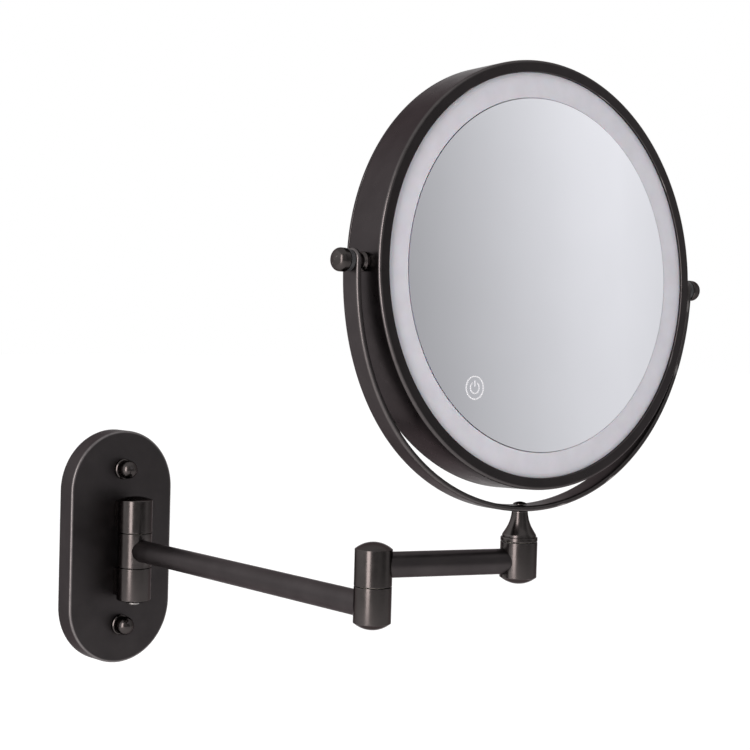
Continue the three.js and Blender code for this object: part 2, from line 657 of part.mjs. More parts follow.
function addArm1(arm) {
  const bushInner = WALL_PIN_RADIUS + GAP;
  const half = WALL_MIDDLE_HALF;
  const bushHalf = half - WASHER_SEAT - GAP;
  piece(arm, 'arm_1_wall_knuckle', surface(wallMiddleKnuckle()), darkBarrel);
  piece(arm, 'arm_1_wall_bush', ring(bushInner, bushInner + BUSH_WALL, -bushHalf, bushHalf), brass);
  piece(arm, 'hinge_washer_upper', frictionWasher(bushInner, half), nylon);
  piece(arm, 'hinge_washer_lower', frictionWasher(bushInner, half).rotateX(Math.PI), nylon);
  piece(arm, 'arm_1_tube', armTube(ARM_1_LENGTH, WALL_BARREL_RADIUS, BARREL_RADIUS), darkTube);
  const elbow = frame(arm, [ARM_1_LENGTH, 0, 0], [0, 0, 180]);
  piece(elbow, 'arm_1_elbow_knuckle', surface(bushedKnuckle()), darkBarrel);
  piece(elbow, 'elbow_bush', knuckleBush(), brass);
  piece(elbow, 'elbow_washer', frictionWasher(PIN_RADIUS + GAP, BARREL_FACE), nylon);
}

function addArm2(arm) {
  const level = frame(arm, [0, 0, ARM_2_HEIGHT]);
  const upturned = frame(level, [0, 0, 0], [180, 0, 0]);
  piece(upturned, 'arm_2_elbow_knuckle', surface(armKnuckle(PIN_RADIUS + GAP, 13, 0)), darkBarrel);
  piece(arm, 'elbow_pin', rod(PIN_RADIUS, BARREL_FACE - PIN_DEPTH, BARREL_FACE + SEAM + 12.6), steel);
  piece(level, 'arm_2_tube', armTube(ARM_2_LENGTH, BARREL_RADIUS, BARREL_RADIUS), darkTube);
  const end = frame(level, [ARM_2_LENGTH, 0, 0], [0, 0, 180]);
  piece(end, 'arm_2_end_knuckle', surface(bushedKnuckle()), darkBarrel);
  piece(end, 'swivel_bush', knuckleBush(), brass);
  piece(end, 'swivel_washer', frictionWasher(PIN_RADIUS + GAP, BARREL_FACE), nylon);
}

function addYoke(yoke, band) {
  piece(yoke, 'swivel_neck', surface(swivelNeck()), darkBarrel);
  piece(yoke, 'swivel_pin', rod(PIN_RADIUS, NECK_BASE - SEAM - PIN_DEPTH, NECK_BASE + 3.7), steel);
  piece(yoke, 'yoke_screw', yokeScrew(), darkBarrel);
  const centre = frame(band, [0, 0, YOKE_DEPTH]);
  piece(centre, 'yoke_band', surface(yokeBand()), darkTube);
  piece(centre, 'pivot_washer_right', pivotWasher(), blackPlastic);
  piece(centre, 'pivot_washer_left', onLeft(pivotWasher()), blackPlastic);
}

function addHead(head) {
  piece(head, 'head_rim', surface(headRim()), darkRim);
  piece(head, 'diffuser_ring', diffuserRing(), opal);
  piece(head, 'front_mirror', frontMirror(), silvered);
  piece(head, 'lamp_tray', surface(lampTray()), whitePlastic);
  piece(head, 'lamp_board', lampBoard(), boardWhite);
  for (let i = 0; i < LED_COUNT; i += 1) piece(head, `lamp_${i + 1}`, lamp(i), ledYellow);
  piece(head, 'touch_pad', touchPad(), blackPlastic);
  piece(head, 'driver_board', driverBoard(), boardGreen);
  piece(head, 'battery_holder', surface(batteryHolder()), blackPlastic);
  CELL_ROWS.forEach((_, row) => piece(head, `battery_${row + 1}`, cell(row, row === 1), cellJacket));
  piece(head, 'battery_contact_right', cellContact(1), steel);
  piece(head, 'battery_contact_left', cellContact(-1), steel);
  piece(head, 'rear_mirror', rearMirror(), silvered);
  piece(head, 'rear_bezel', rearBezel(), darkRim);
  piece(head, 'pivot_boss_right', pivotBoss(), darkBarrel);
  piece(head, 'pivot_boss_left', onLeft(pivotBoss()), darkBarrel);
  piece(head, 'pivot_knob_right', pivotKnob(), darkBarrel);
  piece(head, 'pivot_knob_left', onLeft(pivotKnob()), darkBarrel);
  piece(head, 'pivot_nut_right', surface(pivotNut()), steel);
  piece(head, 'pivot_nut_left', onLeft(surface(pivotNut())), steel);
}

const arm1 = frame(mirror, [0, HINGE_Y, 0], [0, 0, ARM_1_ANGLE]);
const arm2 = frame(arm1, [ARM_1_LENGTH, 0, 0], [0, 0, ARM_2_ANGLE - ARM_1_ANGLE]);
const yoke = frame(arm2, [ARM_2_LENGTH, 0, 0], [0, 0, YOKE_ANGLE - ARM_2_ANGLE]);
const band = frame(yoke, [0, 0, BAND_BOTTOM], [0, YOKE_ROLL, 0]);
const head = frame(band, [0, 0, YOKE_DEPTH], [HEAD_LEAN, 0, 0]);

addWallBase(mirror);
addArm1(arm1);
addArm2(arm2);
addYoke(yoke, band);
addHead(head);

export default mirror;
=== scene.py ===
"""Looks for the extendable wall-mounted shaving mirror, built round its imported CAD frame.

Sizes are in millimetres and are turned into metres by each piece's placing matrix.
Turned pieces are described by an outline of (radius, height) points; a third number rounds that corner.
"""

import json
import math

import bmesh
import bpy
from mathutils import Matrix, Vector


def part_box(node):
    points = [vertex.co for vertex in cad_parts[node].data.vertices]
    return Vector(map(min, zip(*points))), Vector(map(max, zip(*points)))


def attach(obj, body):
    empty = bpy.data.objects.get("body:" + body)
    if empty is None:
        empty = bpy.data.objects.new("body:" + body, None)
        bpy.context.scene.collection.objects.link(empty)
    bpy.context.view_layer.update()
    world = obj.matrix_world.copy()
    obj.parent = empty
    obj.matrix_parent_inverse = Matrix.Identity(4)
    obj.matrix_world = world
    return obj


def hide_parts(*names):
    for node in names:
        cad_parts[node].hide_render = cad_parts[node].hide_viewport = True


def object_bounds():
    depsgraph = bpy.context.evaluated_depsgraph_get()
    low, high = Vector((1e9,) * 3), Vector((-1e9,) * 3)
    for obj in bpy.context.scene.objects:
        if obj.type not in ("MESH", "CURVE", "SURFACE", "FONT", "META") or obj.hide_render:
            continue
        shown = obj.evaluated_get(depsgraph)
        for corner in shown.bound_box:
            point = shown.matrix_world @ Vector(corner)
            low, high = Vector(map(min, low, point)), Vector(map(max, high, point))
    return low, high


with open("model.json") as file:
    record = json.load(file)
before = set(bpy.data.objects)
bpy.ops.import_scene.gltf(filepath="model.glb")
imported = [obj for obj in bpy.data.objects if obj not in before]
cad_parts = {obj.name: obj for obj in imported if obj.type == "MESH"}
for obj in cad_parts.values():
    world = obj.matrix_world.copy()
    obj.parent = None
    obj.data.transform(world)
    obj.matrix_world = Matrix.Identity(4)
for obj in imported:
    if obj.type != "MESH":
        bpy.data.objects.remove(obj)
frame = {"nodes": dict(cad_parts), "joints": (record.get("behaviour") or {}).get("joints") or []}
cad_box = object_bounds()

# ---------- sizes, in millimetres ----------

MM = 0.001
GAP = 0.3  # left between neighbouring pieces, so that they share no face
SEAM = 0.4  # left between knuckles that turn against each other
EDGE = 0.25  # rounds the corners where two knuckles meet
ARC_SHARE = 0.46  # the most that one rounded corner takes of the shorter line beside it
SUPPORTS = (0.12, 0.35)  # support points lie this far from a rounded corner and keep the painted edge highlight on it
SHARP_ANGLE = 32  # in degrees: corners sharper than this stay sharp in the shading

PLATE_WALL = 1.8
PLATE_EDGE = 1.1
BACKING_DEPTH = 6.5
BACKING_BOSS = 7.5
FIXING_HEIGHT = 46.3
FIXING_BORE = 2.7
COLLAR = 6.1
COLLAR_THICKNESS = 1.6
COLLAR_STEP = 0.6
COLLAR_BEVEL = 0.5
NUT_BALL = 5.4
NUT_HEIGHT = 5
NUT_BORE_END = 0.6
NUT_BORE_TIP = 1.5
SCREW_BORE = 2.2
SCREW_STOP = 5.6

WALL_BARREL = 10
WALL_MIDDLE_HALF = 10
WALL_KNUCKLE_HEIGHT = 18.9
WALL_DOME = 2
WALL_PIN = 3.4
WALL_PIN_REACH = 3
WALL_PIN_BEVEL = 0.9
WALL_PIN_BEVEL_HEIGHT = 0.35
WALL_PIN_IN_UPPER = 14
WALL_CAP = 3  # left above the pin's bore in the upper knuckle
FOOT_WIDTH = 11
FOOT_HEIGHT = WALL_KNUCKLE_HEIGHT - 3
BARREL = 9.3
BARREL_FACE = 9.8
BARREL_SHOULDER = 8.2
BARREL_DOME = 3.2
PIN = 4
PIN_BORE_DEPTH = 13
BUSH = 0.8
BUSH_BORE_DEPTH = 15
WASHER = 7.4
WASHER_SEAT = 1.0

TUBE = 6.35
TUBE_WALL = 1.2
SOCKET = 3.2

YOKE_INNER = 111.8
YOKE_DROP = 2.5
YOKE_FULLNESS = 1.6
YOKE_THICKNESS = 2.8
YOKE_WIDTH = 11.6
YOKE_EDGE = 1.2
YOKE_SCREW = 1.5
YOKE_SCREW_LENGTH = 6.5
YOKE_SCREW_HEAD = 3.7
YOKE_SCREW_DOME = 1.15
YOKE_SCREW_HOLE = 1.9
NECK_TOP_RADIUS = 3.7
NECK_FLARE = 5.3
NECK_FLARE_LENGTH = 6.1
NECK_FLARE_POWER = 1.4
NECK_BEAD = 2.0
NECK_LEDGE = 0.75
NECK_THREAD = 1.8
NECK_THREAD_DEPTH = 8
NECK_PIN_DEPTH = 4

RIM = 106
RIM_FRONT = 11
RIM_BACK = 12.2
RIM_WALL = 1.5
RIM_EDGE = 1.5
OPENING = 100
MIRROR = 87.3
GLASS = 3
GLASS_FRONT = 9.5
DIFFUSER_FRONT = 9.2
DIFFUSER_OUTER = 103.9
DIFFUSER_THICKNESS = 2.5
BEZEL_OPENING = 94
BEZEL_BACK = 14.3
BEZEL_SKIRT = 7
BEZEL_WALL = 1.6
REAR_MIRROR = 97
REAR_SAG = 3.5
REAR_GLASS = 2.5
TOUCH_PLACE = (-45.1, -56.5)
TOUCH_PRINT = 0.06
TOUCH_RING = (5.1, 5.8)
TOUCH_ARC = (2.45, 3.05)
TOUCH_ARC_SPAN = (125, 415)  # in degrees
TOUCH_BAR = (0.28, 0.6, 3.5)  # half width, and where it starts and ends above the middle

PIVOT_BORE = 2.4
PIVOT_SCREW = 2.1
PIVOT_WASHER = 5
PIVOT_WASHER_THICKNESS = 2.2
KNOB = 5.5
KNOB_ROUNDING = 3.2
KNOB_DOME = 0.35
KNOB_REACH = 9.1
KNOB_LEDGE = 0.5
KNOB_SCREW_END = 99.6
BOSS = 4.6
BOSS_FOOT = 1.3
BOSS_TAPER = 2.4
BOSS_WAIST = 1
BOSS_BEAD = 1.5
BOSS_BEAD_STEP = 0.5
BOSS_BEAD_FACE = 0.8

ROUND = 96  # segments round small turned pieces
LARGE = 256  # segments round the head

# ---------- places, taken from the frame ----------

Z_UP = Vector((0, 0, 1))
FORWARD = Vector((0, -1, 0))


def place(origin, x_axis, z_axis=Z_UP):
    """A local frame: millimetres in, metres out."""
    z = Vector(z_axis).normalized()
    x = Vector(x_axis)
    x = (x - z * x.dot(z)).normalized()
    turned_axes = Matrix((x, z.cross(x), z)).transposed().to_4x4()
    turned_axes.translation = Vector(origin)
    return turned_axes @ Matrix.Scale(MM, 4)


def joint(name):
    return next(j for j in frame["joints"] if j["name"] == name)


def joint_place(name):
    return Vector(joint(name)["pos_m"])


def middle(node):
    low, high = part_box(node)
    return (low + high) / 2


def facing(node, towards):
    """The direction of a node's flat face that looks roughly the given way."""
    total = Vector((0, 0, 0))
    for polygon in frame["nodes"][node].data.polygons:
        if polygon.normal.dot(towards) > 0.95:
            total += polygon.normal * polygon.area
    return total.normalized()


wall_hinge = joint_place("wall_hinge")
elbow = joint_place("elbow")
swivel = joint_place("head_swivel")
pivots = joint_place("head_tilt")
across = Vector(joint("head_tilt")["axis"]).normalized()
head_front = facing("front_mirror", FORWARD)
yoke_front = across.cross(Z_UP).normalized()
if yoke_front.dot(FORWARD) < 0:
    yoke_front = -yoke_front
band_up = yoke_front.cross(across)
band_bottom = pivots.z / MM - (YOKE_INNER + YOKE_THICKNESS + YOKE_DROP) * band_up.z

arm_1_end = Vector((elbow.x, elbow.y, wall_hinge.z))
arm_2_start = Vector((elbow.x, elbow.y, middle("arm_2_tube").z))
arm_2_end = Vector((swivel.x, swivel.y, arm_2_start.z))
arm_1_length = (arm_1_end - wall_hinge).length / MM
arm_2_length = (arm_2_end - arm_2_start).length / MM
arm_1_way = (arm_1_end - wall_hinge).normalized()
arm_2_way = (arm_2_end - arm_2_start).normalized()

plate_low, plate_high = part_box("wall_plate")
plate_width = (plate_high.x - plate_low.x) / MM
plate_height = (plate_high.z - plate_low.z) / MM
plate_depth = (plate_high.y - plate_low.y) / MM
hinge_from_plate = -wall_hinge.y / MM - plate_depth

AT_WALL = place((0, 0, 0), (1, 0, 0), FORWARD)
AT_HINGE = place(wall_hinge, (1, 0, 0))
ON_ARM_1 = place(wall_hinge, arm_1_way)
AT_ELBOW_1 = place(arm_1_end, -arm_1_way)
AT_ELBOW_2 = place(arm_2_start, arm_2_way, -Z_UP)
ON_ARM_2 = place(arm_2_start, arm_2_way)
AT_END = place(arm_2_end, -arm_2_way)
ON_NECK = place((swivel.x, swivel.y, 0), across)
ON_YOKE = place(pivots, across, band_up)
ON_HEAD = place(pivots, across, head_front)
PIVOT_RIGHT = place(pivots, Z_UP, across)
PIVOT_LEFT = place(pivots, Z_UP, -across)


# ---------- mesh helpers ----------


def rounded(outline, closed, steps=4):
    """The outline with each corner that names a radius turned into an arc between support points."""
    points = []
    count = len(outline)
    for i, point in enumerate(outline):
        here = Vector(point[:2])
        radius = point[2] if len(point) > 2 else 0
        at_end = not closed and i in (0, count - 1)
        if radius <= 0 or at_end:
            points.append(tuple(here))
            continue
        before = Vector(outline[i - 1][:2]) - here
        after = Vector(outline[(i + 1) % count][:2]) - here
        half = before.angle(after) / 2
        room = ARC_SHARE * min(before.length, after.length)
        reach = min(radius / math.tan(half), room)
        radius = reach * math.tan(half)
        before.normalize()
        after.normalize()
        centre = here + (before + after).normalized() * (radius / math.sin(half))
        start = here + before * reach - centre
        sweep = start.angle_signed(here + after * reach - centre)
        extras = [extra for extra in SUPPORTS if extra < room - reach - 0.02]
        for extra in reversed(extras):
            points.append(tuple(here + before * (reach + extra)))
        for step in range(steps + 1):
            turn = -sweep * step / steps
            points.append(
                (
                    centre.x + start.x * math.cos(turn) - start.y * math.sin(turn),
                    centre.y + start.x * math.sin(turn) + start.y * math.cos(turn),
                )
            )
        for extra in extras:
            points.append(tuple(here + after * (reach + extra)))
    return points


def dome(radius, height, base, steps=14):
    """Points of a spherical cap from its base up to the axis."""
    sphere = (radius * radius + height * height) / (2 * height)
    spread = math.asin(min(1, radius / sphere))
    points = []
    for i in range(steps + 1):
        angle = spread * (1 - i / steps)
        points.append((sphere * math.sin(angle), base + height - sphere * (1 - math.cos(angle))))
    points[-1] = (0, base + height)
    return points


def ball_points(radius, centre, neck, steps=26):
    """Points of a ball from where it leaves its neck up to the axis."""
    start = math.asin(neck / radius)
    points = []
    for i in range(steps + 1):
        angle = (math.pi - start) * (1 - i / steps)
        points.append((radius * math.sin(angle), centre + radius * math.cos(angle)))
    points[-1] = (0, centre + radius)
    return points


def lathe(outline, segments, closed):
    """Vertices and faces of a piece turned about Z."""
    verts, rings = [], []
    for radius, height in outline:
        if radius < 1e-6:
            rings.append([len(verts)])
            verts.append((0, 0, height))
            continue
        rings.append(list(range(len(verts), len(verts) + segments)))
        for i in range(segments):
            angle = 2 * math.pi * i / segments
            verts.append((radius * math.cos(angle), radius * math.sin(angle), height))
    faces = []
    pairs = list(zip(rings, rings[1:]))
    if closed:
        pairs.append((rings[-1], rings[0]))
    for low, high in pairs:
        for i in range(segments):
            j = (i + 1) % segments
            if len(low) == 1 and len(high) == 1:
                continue
            if len(low) == 1:
                faces.append((low[0], high[j], high[i]))
            elif len(high) == 1:
                faces.append((low[i], low[j], high[0]))
            else:
                faces.append((low[i], low[j], high[j], high[i]))
    return verts, faces


def make(name, verts, faces, where):
    """A mesh object in the frame's own axes, made from points in the given place's millimetres."""
    mesh = bpy.data.meshes.new(name)
    mesh.from_pydata([where @ Vector(v) for v in verts], [], faces)
    tidy(mesh)
    piece = bpy.data.objects.new(name, mesh)
    bpy.context.scene.collection.objects.link(piece)
    return piece


def tidy(mesh):
    """Merged, consistently facing, and smooth except at sharp corners."""
    bm = bmesh.new()
    bm.from_mesh(mesh)
    bmesh.ops.remove_doubles(bm, verts=bm.verts, dist=1e-7)
    bmesh.ops.recalc_face_normals(bm, faces=bm.faces)
    bm.to_mesh(mesh)
    bm.free()
    mesh.polygons.foreach_set("use_smooth", [True] * len(mesh.polygons))
    mesh.set_sharp_from_angle(angle=math.radians(SHARP_ANGLE))
    mesh.update()


def turned(name, outline, where, segments=ROUND, closed=False, steps=4):
    verts, faces = lathe(rounded(outline, closed, steps), segments, closed)
    return make(name, verts, faces, where)


def combine(piece, tool, operation):
    """Cuts the tool from the piece or joins it on, and removes the tool."""
    modifier = piece.modifiers.new("combine", "BOOLEAN")
    modifier.operation = operation
    modifier.solver = "EXACT"
    modifier.object = tool
    depsgraph = bpy.context.evaluated_depsgraph_get()
    result = bpy.data.meshes.new_from_object(piece.evaluated_get(depsgraph))
    piece.modifiers.clear()
    piece.data = result
    bpy.data.objects.remove(tool)
    tidy(piece.data)


def flatten(piece, where):
    """Flat shading for the faces that lie square to the place's Z."""
    way = (where.to_3x3() @ Z_UP).normalized()
    for polygon in piece.data.polygons:
        if abs(polygon.normal.dot(way)) > 0.9999:
            polygon.use_smooth = False


def drill(piece, radius, start, end, where, segments=64):
    tool = turned("drill", [(0, start), (radius, start), (radius, end), (0, end)], where, segments)
    combine(piece, tool, "DIFFERENCE")


def raised(where, height):
    """The same place moved along its own Y, which on the wall points up."""
    return where @ Matrix.Translation((0, height, 0))


def sideways(where):
    """The same place with its Z turned onto its X, for bores and tubes that leave along X."""
    return where @ Matrix.Rotation(math.pi / 2, 4, "Y")


def put(piece, body, material, slot, *nodes):
    """Dresses a finished piece, hangs it on its body and hides the CAD nodes it stands for."""
    piece.data.materials.clear()
    piece.data.materials.append(material)
    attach(piece, body)
    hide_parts(*nodes)


# ---------- material helpers ----------


class Shader:
    """A Principled material being put together."""

    def __init__(self, name, roughness=0.5, metallic=0.0, specular=0.5):
        self.material = bpy.data.materials.new(name)
        self.material.use_nodes = True
        self.tree = self.material.node_tree
        self.surface = self.tree.nodes["Principled BSDF"]
        self.surface.inputs["Roughness"].default_value = roughness
        self.surface.inputs["Metallic"].default_value = metallic
        self.surface.inputs["Specular IOR Level"].default_value = specular
        self.place = self.node("ShaderNodeTexCoord").outputs["Object"]

    def node(self, kind, **values):
        made = self.tree.nodes.new(kind)
        for key, value in values.items():
            setattr(made, key, value)
        return made

    def link(self, a, b):
        self.tree.links.new(a, b)

    def noise(self, size, detail=3.0, rough=0.5, stretch=None):
        """Noise whose features are about the given size in millimetres."""
        made = self.node("ShaderNodeTexNoise")
        made.inputs["Scale"].default_value = 1 / (size * MM)
        made.inputs["Detail"].default_value = detail
        made.inputs["Roughness"].default_value = rough
        source = self.place
        if stretch:
            mapping = self.node("ShaderNodeMapping")
            mapping.inputs["Rotation"].default_value = (0, 0, stretch[0])
            mapping.inputs["Scale"].default_value = stretch[1]
            self.link(source, mapping.inputs["Vector"])
            source = mapping.outputs["Vector"]
        self.link(source, made.inputs["Vector"])
        return made.outputs["Fac"]

    def spread(self, value, low, high, start=0.3, end=0.7):
        """The value moved onto the range low to high."""
        made = self.node("ShaderNodeMapRange")
        made.inputs["From Min"].default_value = start
        made.inputs["From Max"].default_value = end
        made.inputs["To Min"].default_value = low
        made.inputs["To Max"].default_value = high
        self.link(value, made.inputs["Value"])
        return made.outputs["Result"]

    def mix(self, amount, a, b):
        made = self.node("ShaderNodeMix", data_type="RGBA")
        for socket, value in ((made.inputs["A"], a), (made.inputs["B"], b)):
            if isinstance(value, (tuple, list)):
                socket.default_value = (*value, 1)
            else:
                self.link(value, socket)
        self.link(amount, made.inputs["Factor"])
        return made.outputs["Result"]

    def math(self, operation, *values):
        made = self.node("ShaderNodeMath", operation=operation)
        for socket, value in zip(made.inputs, values):
            if isinstance(value, (int, float)):
                socket.default_value = value
            else:
                self.link(value, socket)
        return made.outputs[0]

    def set(self, name, value):
        self.link(value, self.surface.inputs[name])

    def bump(self, *layers):
        """Height layers of (value, depth in millimetres), added one on another."""
        normal = None
        for value, depth in layers:
            made = self.node("ShaderNodeBump")
            made.inputs["Strength"].default_value = 1
            made.inputs["Distance"].default_value = depth * MM
            self.link(value, made.inputs["Height"])
            if normal is not None:
                self.link(normal, made.inputs["Normal"])
            normal = made.outputs["Normal"]
        self.set("Normal", normal)


def painted_edge_highlight(shader, size, least):
    """Painted highlight on convex edges, broken up by noise down to the given least amount."""
    point = shader.node("ShaderNodeNewGeometry").outputs["Pointiness"]
    edges = shader.spread(point, 0, 1, 0.51, 0.57)
    patches = shader.spread(shader.noise(size, 4), least, 1)
    return shader.math("MULTIPLY", edges, patches)


def plate_painted_edge_highlight(shader, size, least):
    """The same painted edge highlight on the wall plate's front edge, placed by the plate's own outline.
    """
    highlight_starts, highlight_ends, highlight_depth = 1.5, 0.7, 1.3
    split = shader.node("ShaderNodeSeparateXYZ")
    shader.link(shader.place, split.inputs[0])
    x, y, z = split.outputs
    end_centre = (plate_height - plate_width) / 2 * MM
    past_centre = shader.math("SUBTRACT", shader.math("ABSOLUTE", z), end_centre)
    beyond = shader.math("MAXIMUM", past_centre, 0.0)
    squares = shader.math("MULTIPLY", x, x), shader.math("MULTIPLY", beyond, beyond)
    out = shader.math("SQRT", shader.math("ADD", *squares))
    rim = plate_width / 2 * MM
    outer = shader.spread(out, 0, 1, rim - highlight_starts * MM, rim - highlight_ends * MM)
    front = shader.spread(y, 1, 0, -plate_depth * MM, (highlight_depth - plate_depth) * MM)
    patches = shader.spread(shader.noise(size, 4), least, 1)
    return shader.math("MULTIPLY", shader.math("MULTIPLY", outer, front), patches)


def plating(name, tones, painted_highlight_tone, rough, grain, depth, edge_on=0.5, least=0.3, paint_edge_highlight=painted_edge_highlight):
    """Dark bronze plating: cloudy tone, fine satin grain, faint handling marks, and a painted highlight
    along thin edges.
    """
    s = Shader(name, metallic=1.0)
    s.surface.inputs["Specular Tint"].default_value = (edge_on, edge_on * 0.95, edge_on * 0.96, 1)
    clouds = s.mix(s.spread(s.noise(14, 4), 0, 1), *tones)
    # Base colour: the cloudy tone, with a lighter painted highlight mixed in along the edges
    s.set("Base Color", s.mix(paint_edge_highlight(s, 3, least), clouds, painted_highlight_tone))
    marks = s.spread(s.noise(6, 5, 0.6), rough[0], rough[1])
    s.set("Roughness", marks)
    s.bump((s.noise(grain, 2), depth), (s.noise(grain * 9, 2), depth * 1.6))
    return s.material


# ---------- materials ----------


def plate_plating():
    tones = (0.039, 0.035, 0.036), (0.047, 0.042, 0.043)
    # colour of the painted highlight along the plate's front edge
    painted_highlight_tone = (0.2, 0.185, 0.185)
    finish = {"rough": (0.36, 0.46), "grain": 0.22, "depth": 0.0016, "edge_on": 0.48, "least": 0.7}
    return plating("plate_plating", tones, painted_highlight_tone, **finish, paint_edge_highlight=plate_painted_edge_highlight)


def barrel_plating():
    tones = (0.047, 0.042, 0.041), (0.056, 0.05, 0.049)
    # colour of the painted highlight along the barrels' edges
    painted_highlight_tone = (0.13, 0.117, 0.115)
    finish = {"rough": (0.19, 0.27), "grain": 0.3, "depth": 0.0007, "edge_on": 0.45}
    return plating("barrel_plating", tones, painted_highlight_tone, **finish)


def tube_plating():
    tones = (0.045, 0.04, 0.041), (0.053, 0.047, 0.048)
    # colour of the painted highlight along the tubes' edges
    painted_highlight_tone = (0.12, 0.11, 0.11)
    finish = {"rough": (0.34, 0.44), "grain": 0.2, "depth": 0.0014, "edge_on": 0.52}
    return plating("tube_plating", tones, painted_highlight_tone, **finish)


def band_plating():
    """The yoke strip: the tubes' finish with a bright painted highlight along its edges."""
    tones = (0.044, 0.039, 0.04), (0.052, 0.046, 0.047)
    # colour of the painted highlight along the band's edges
    painted_highlight_tone = (0.3, 0.28, 0.275)
    finish = {"rough": (0.3, 0.4), "grain": 0.2, "depth": 0.0014, "least": 0.7}
    return plating("band_plating", tones, painted_highlight_tone, **finish)


def rim_plating():
    tones = (0.036, 0.032, 0.033), (0.043, 0.038, 0.039)
    # colour of the painted highlight along the rim's edges, which brightens the line round its front
    painted_highlight_tone = (0.24, 0.222, 0.22)
    finish = {"rough": (0.26, 0.34), "grain": 0.24, "depth": 0.0012, "edge_on": 0.48, "least": 0.75}
    return plating("rim_plating", tones, painted_highlight_tone, **finish)


def opal_acrylic():
    s = Shader("opal_acrylic", roughness=0.3)
    s.set("Base Color", s.mix(s.spread(s.noise(9, 3), 0, 1), (0.495, 0.493, 0.535), (0.535, 0.533, 0.58)))
    s.surface.inputs["Subsurface Weight"].default_value = 0.25
    s.surface.inputs["Subsurface Scale"].default_value = 0.002
    s.bump((s.noise(0.35, 2), 0.003))
    return s.material


def silvered_glass():
    """Mirror glass: nearly clean, with the faint haze that wiping leaves."""
    s = Shader("silvered_glass", metallic=1.0)
    s.set("Base Color", s.mix(s.spread(s.noise(40, 2), 0, 1), (0.91, 0.915, 0.97), (0.93, 0.935, 0.99)))
    s.set("Roughness", s.spread(s.noise(18, 4, 0.6, (0.6, (1, 0.25, 1))), 0.0, 0.035))
    return s.material


def printed_white():
    s = Shader("printed_white", roughness=0.55)
    s.set("Base Color", s.mix(s.spread(s.noise(0.4, 2), 0, 1), (0.62, 0.625, 0.65), (0.68, 0.685, 0.71)))
    return s.material


def moulded(name, dark, light, roughness, grain=0.4, depth=0.01):
    s = Shader(name)
    s.set("Base Color", s.mix(s.spread(s.noise(11, 3), 0, 1), dark, light))
    s.set("Roughness", s.spread(s.noise(4, 3), roughness - 0.07, roughness + 0.07))
    s.bump((s.noise(grain, 3), depth))
    return s.material


def bare_metal(name, dark, light, roughness, scratch=(1, 1, 8)):
    s = Shader(name, metallic=1.0)
    s.set("Base Color", s.mix(s.spread(s.noise(5, 4), 0, 1), dark, light))
    lines = s.noise(0.5, 3, 0.5, (0, scratch))
    s.set("Roughness", s.spread(lines, roughness - 0.08, roughness + 0.1))
    s.bump((lines, 0.002))
    return s.material


def printed_board(name, mask, track):
    """A circuit board: lacquer with slightly raised tracks under it."""
    s = Shader(name, roughness=0.32)
    cells = s.node("ShaderNodeTexVoronoi", feature="DISTANCE_TO_EDGE", distance="MANHATTAN")
    cells.inputs["Scale"].default_value = 1 / (3 * MM)
    s.link(s.place, cells.inputs["Vector"])
    tracks = s.spread(cells.outputs["Distance"], 1, 0, 0.05, 0.09)
    s.set("Base Color", s.mix(tracks, mask, track))
    s.bump((tracks, 0.03))
    return s.material


def led_package():
    s = Shader("led_package", roughness=0.25)
    s.set("Base Color", s.mix(s.spread(s.noise(0.8, 3), 0, 1), (0.88, 0.7, 0.2), (0.93, 0.82, 0.4)))
    s.bump((s.noise(0.3, 2), 0.01))
    return s.material


def cell_jacket():
    """Plain shrink sleeve with faint wrinkles."""
    s = Shader("cell_jacket", roughness=0.3)
    wrinkles = s.noise(1.6, 4, 0.5, (0, (0.2, 1, 1)))
    s.set("Base Color", s.mix(s.spread(wrinkles, 0, 1), (0.09, 0.11, 0.14), (0.13, 0.16, 0.2)))
    s.bump((wrinkles, 0.03))
    return s.material


PLATE_FINISH = plate_plating()
BARREL_FINISH = barrel_plating()
TUBE_FINISH = tube_plating()
BAND_FINISH = band_plating()
RIM_FINISH = rim_plating()
OPAL = opal_acrylic()
SILVERED = silvered_glass()
PRINT = printed_white()
NYLON = moulded("washer_nylon", (0.66, 0.63, 0.55), (0.74, 0.71, 0.63), 0.5, 0.3, 0.006)
BLACK = moulded("black_plastic", (0.016, 0.016, 0.018), (0.028, 0.028, 0.03), 0.5, 0.5, 0.02)
WHITE = moulded("white_plastic", (0.76, 0.76, 0.75), (0.83, 0.83, 0.82), 0.45, 0.5, 0.01)
STEEL = bare_metal("plain_steel", (0.42, 0.42, 0.43), (0.55, 0.55, 0.56), 0.34)
PIN_STEEL = bare_metal("pin_steel", (0.2, 0.19, 0.185), (0.27, 0.26, 0.255), 0.36)
BRASS = bare_metal("bush_brass", (0.5, 0.34, 0.13), (0.62, 0.44, 0.19), 0.3)
LAMP_BOARD = printed_board("lamp_board_white", (0.8, 0.82, 0.79), (0.7, 0.73, 0.69))
DRIVER_BOARD = printed_board("circuit_board_green", (0.012, 0.1, 0.035), (0.03, 0.2, 0.07))
LED = led_package()
JACKET = cell_jacket()


# ---------- wall base ----------


def stadium_ring(inset, depth, steps=40):
    """One closed ring of a stadium, with straight sides and round ends."""
    radius = plate_width / 2 - inset
    half = plate_height / 2 - plate_width / 2
    ring = []
    for side, centre in ((0, half), (math.pi, -half)):
        for i in range(steps + 1):
            angle = side + math.pi * i / steps
            ring.append((radius * math.cos(angle), centre + radius * math.sin(angle), depth))
    return ring


def stadium_piece(name, outline, where):
    """A capped solid lofted through stadium rings given as (inset, depth) points."""
    verts, faces = [], []
    rings = [stadium_ring(inset, depth) for inset, depth in rounded(outline, False, 6)]
    size = len(rings[0])
    for ring in rings:
        verts.extend(ring)
    for r in range(len(rings) - 1):
        for i in range(size):
            j = (i + 1) % size
            faces.append((r * size + i, r * size + j, (r + 1) * size + j, (r + 1) * size + i))
    faces.append(tuple(reversed(range(size))))
    faces.append(tuple(range((len(rings) - 1) * size, len(rings) * size)))
    return make(name, verts, faces, where)


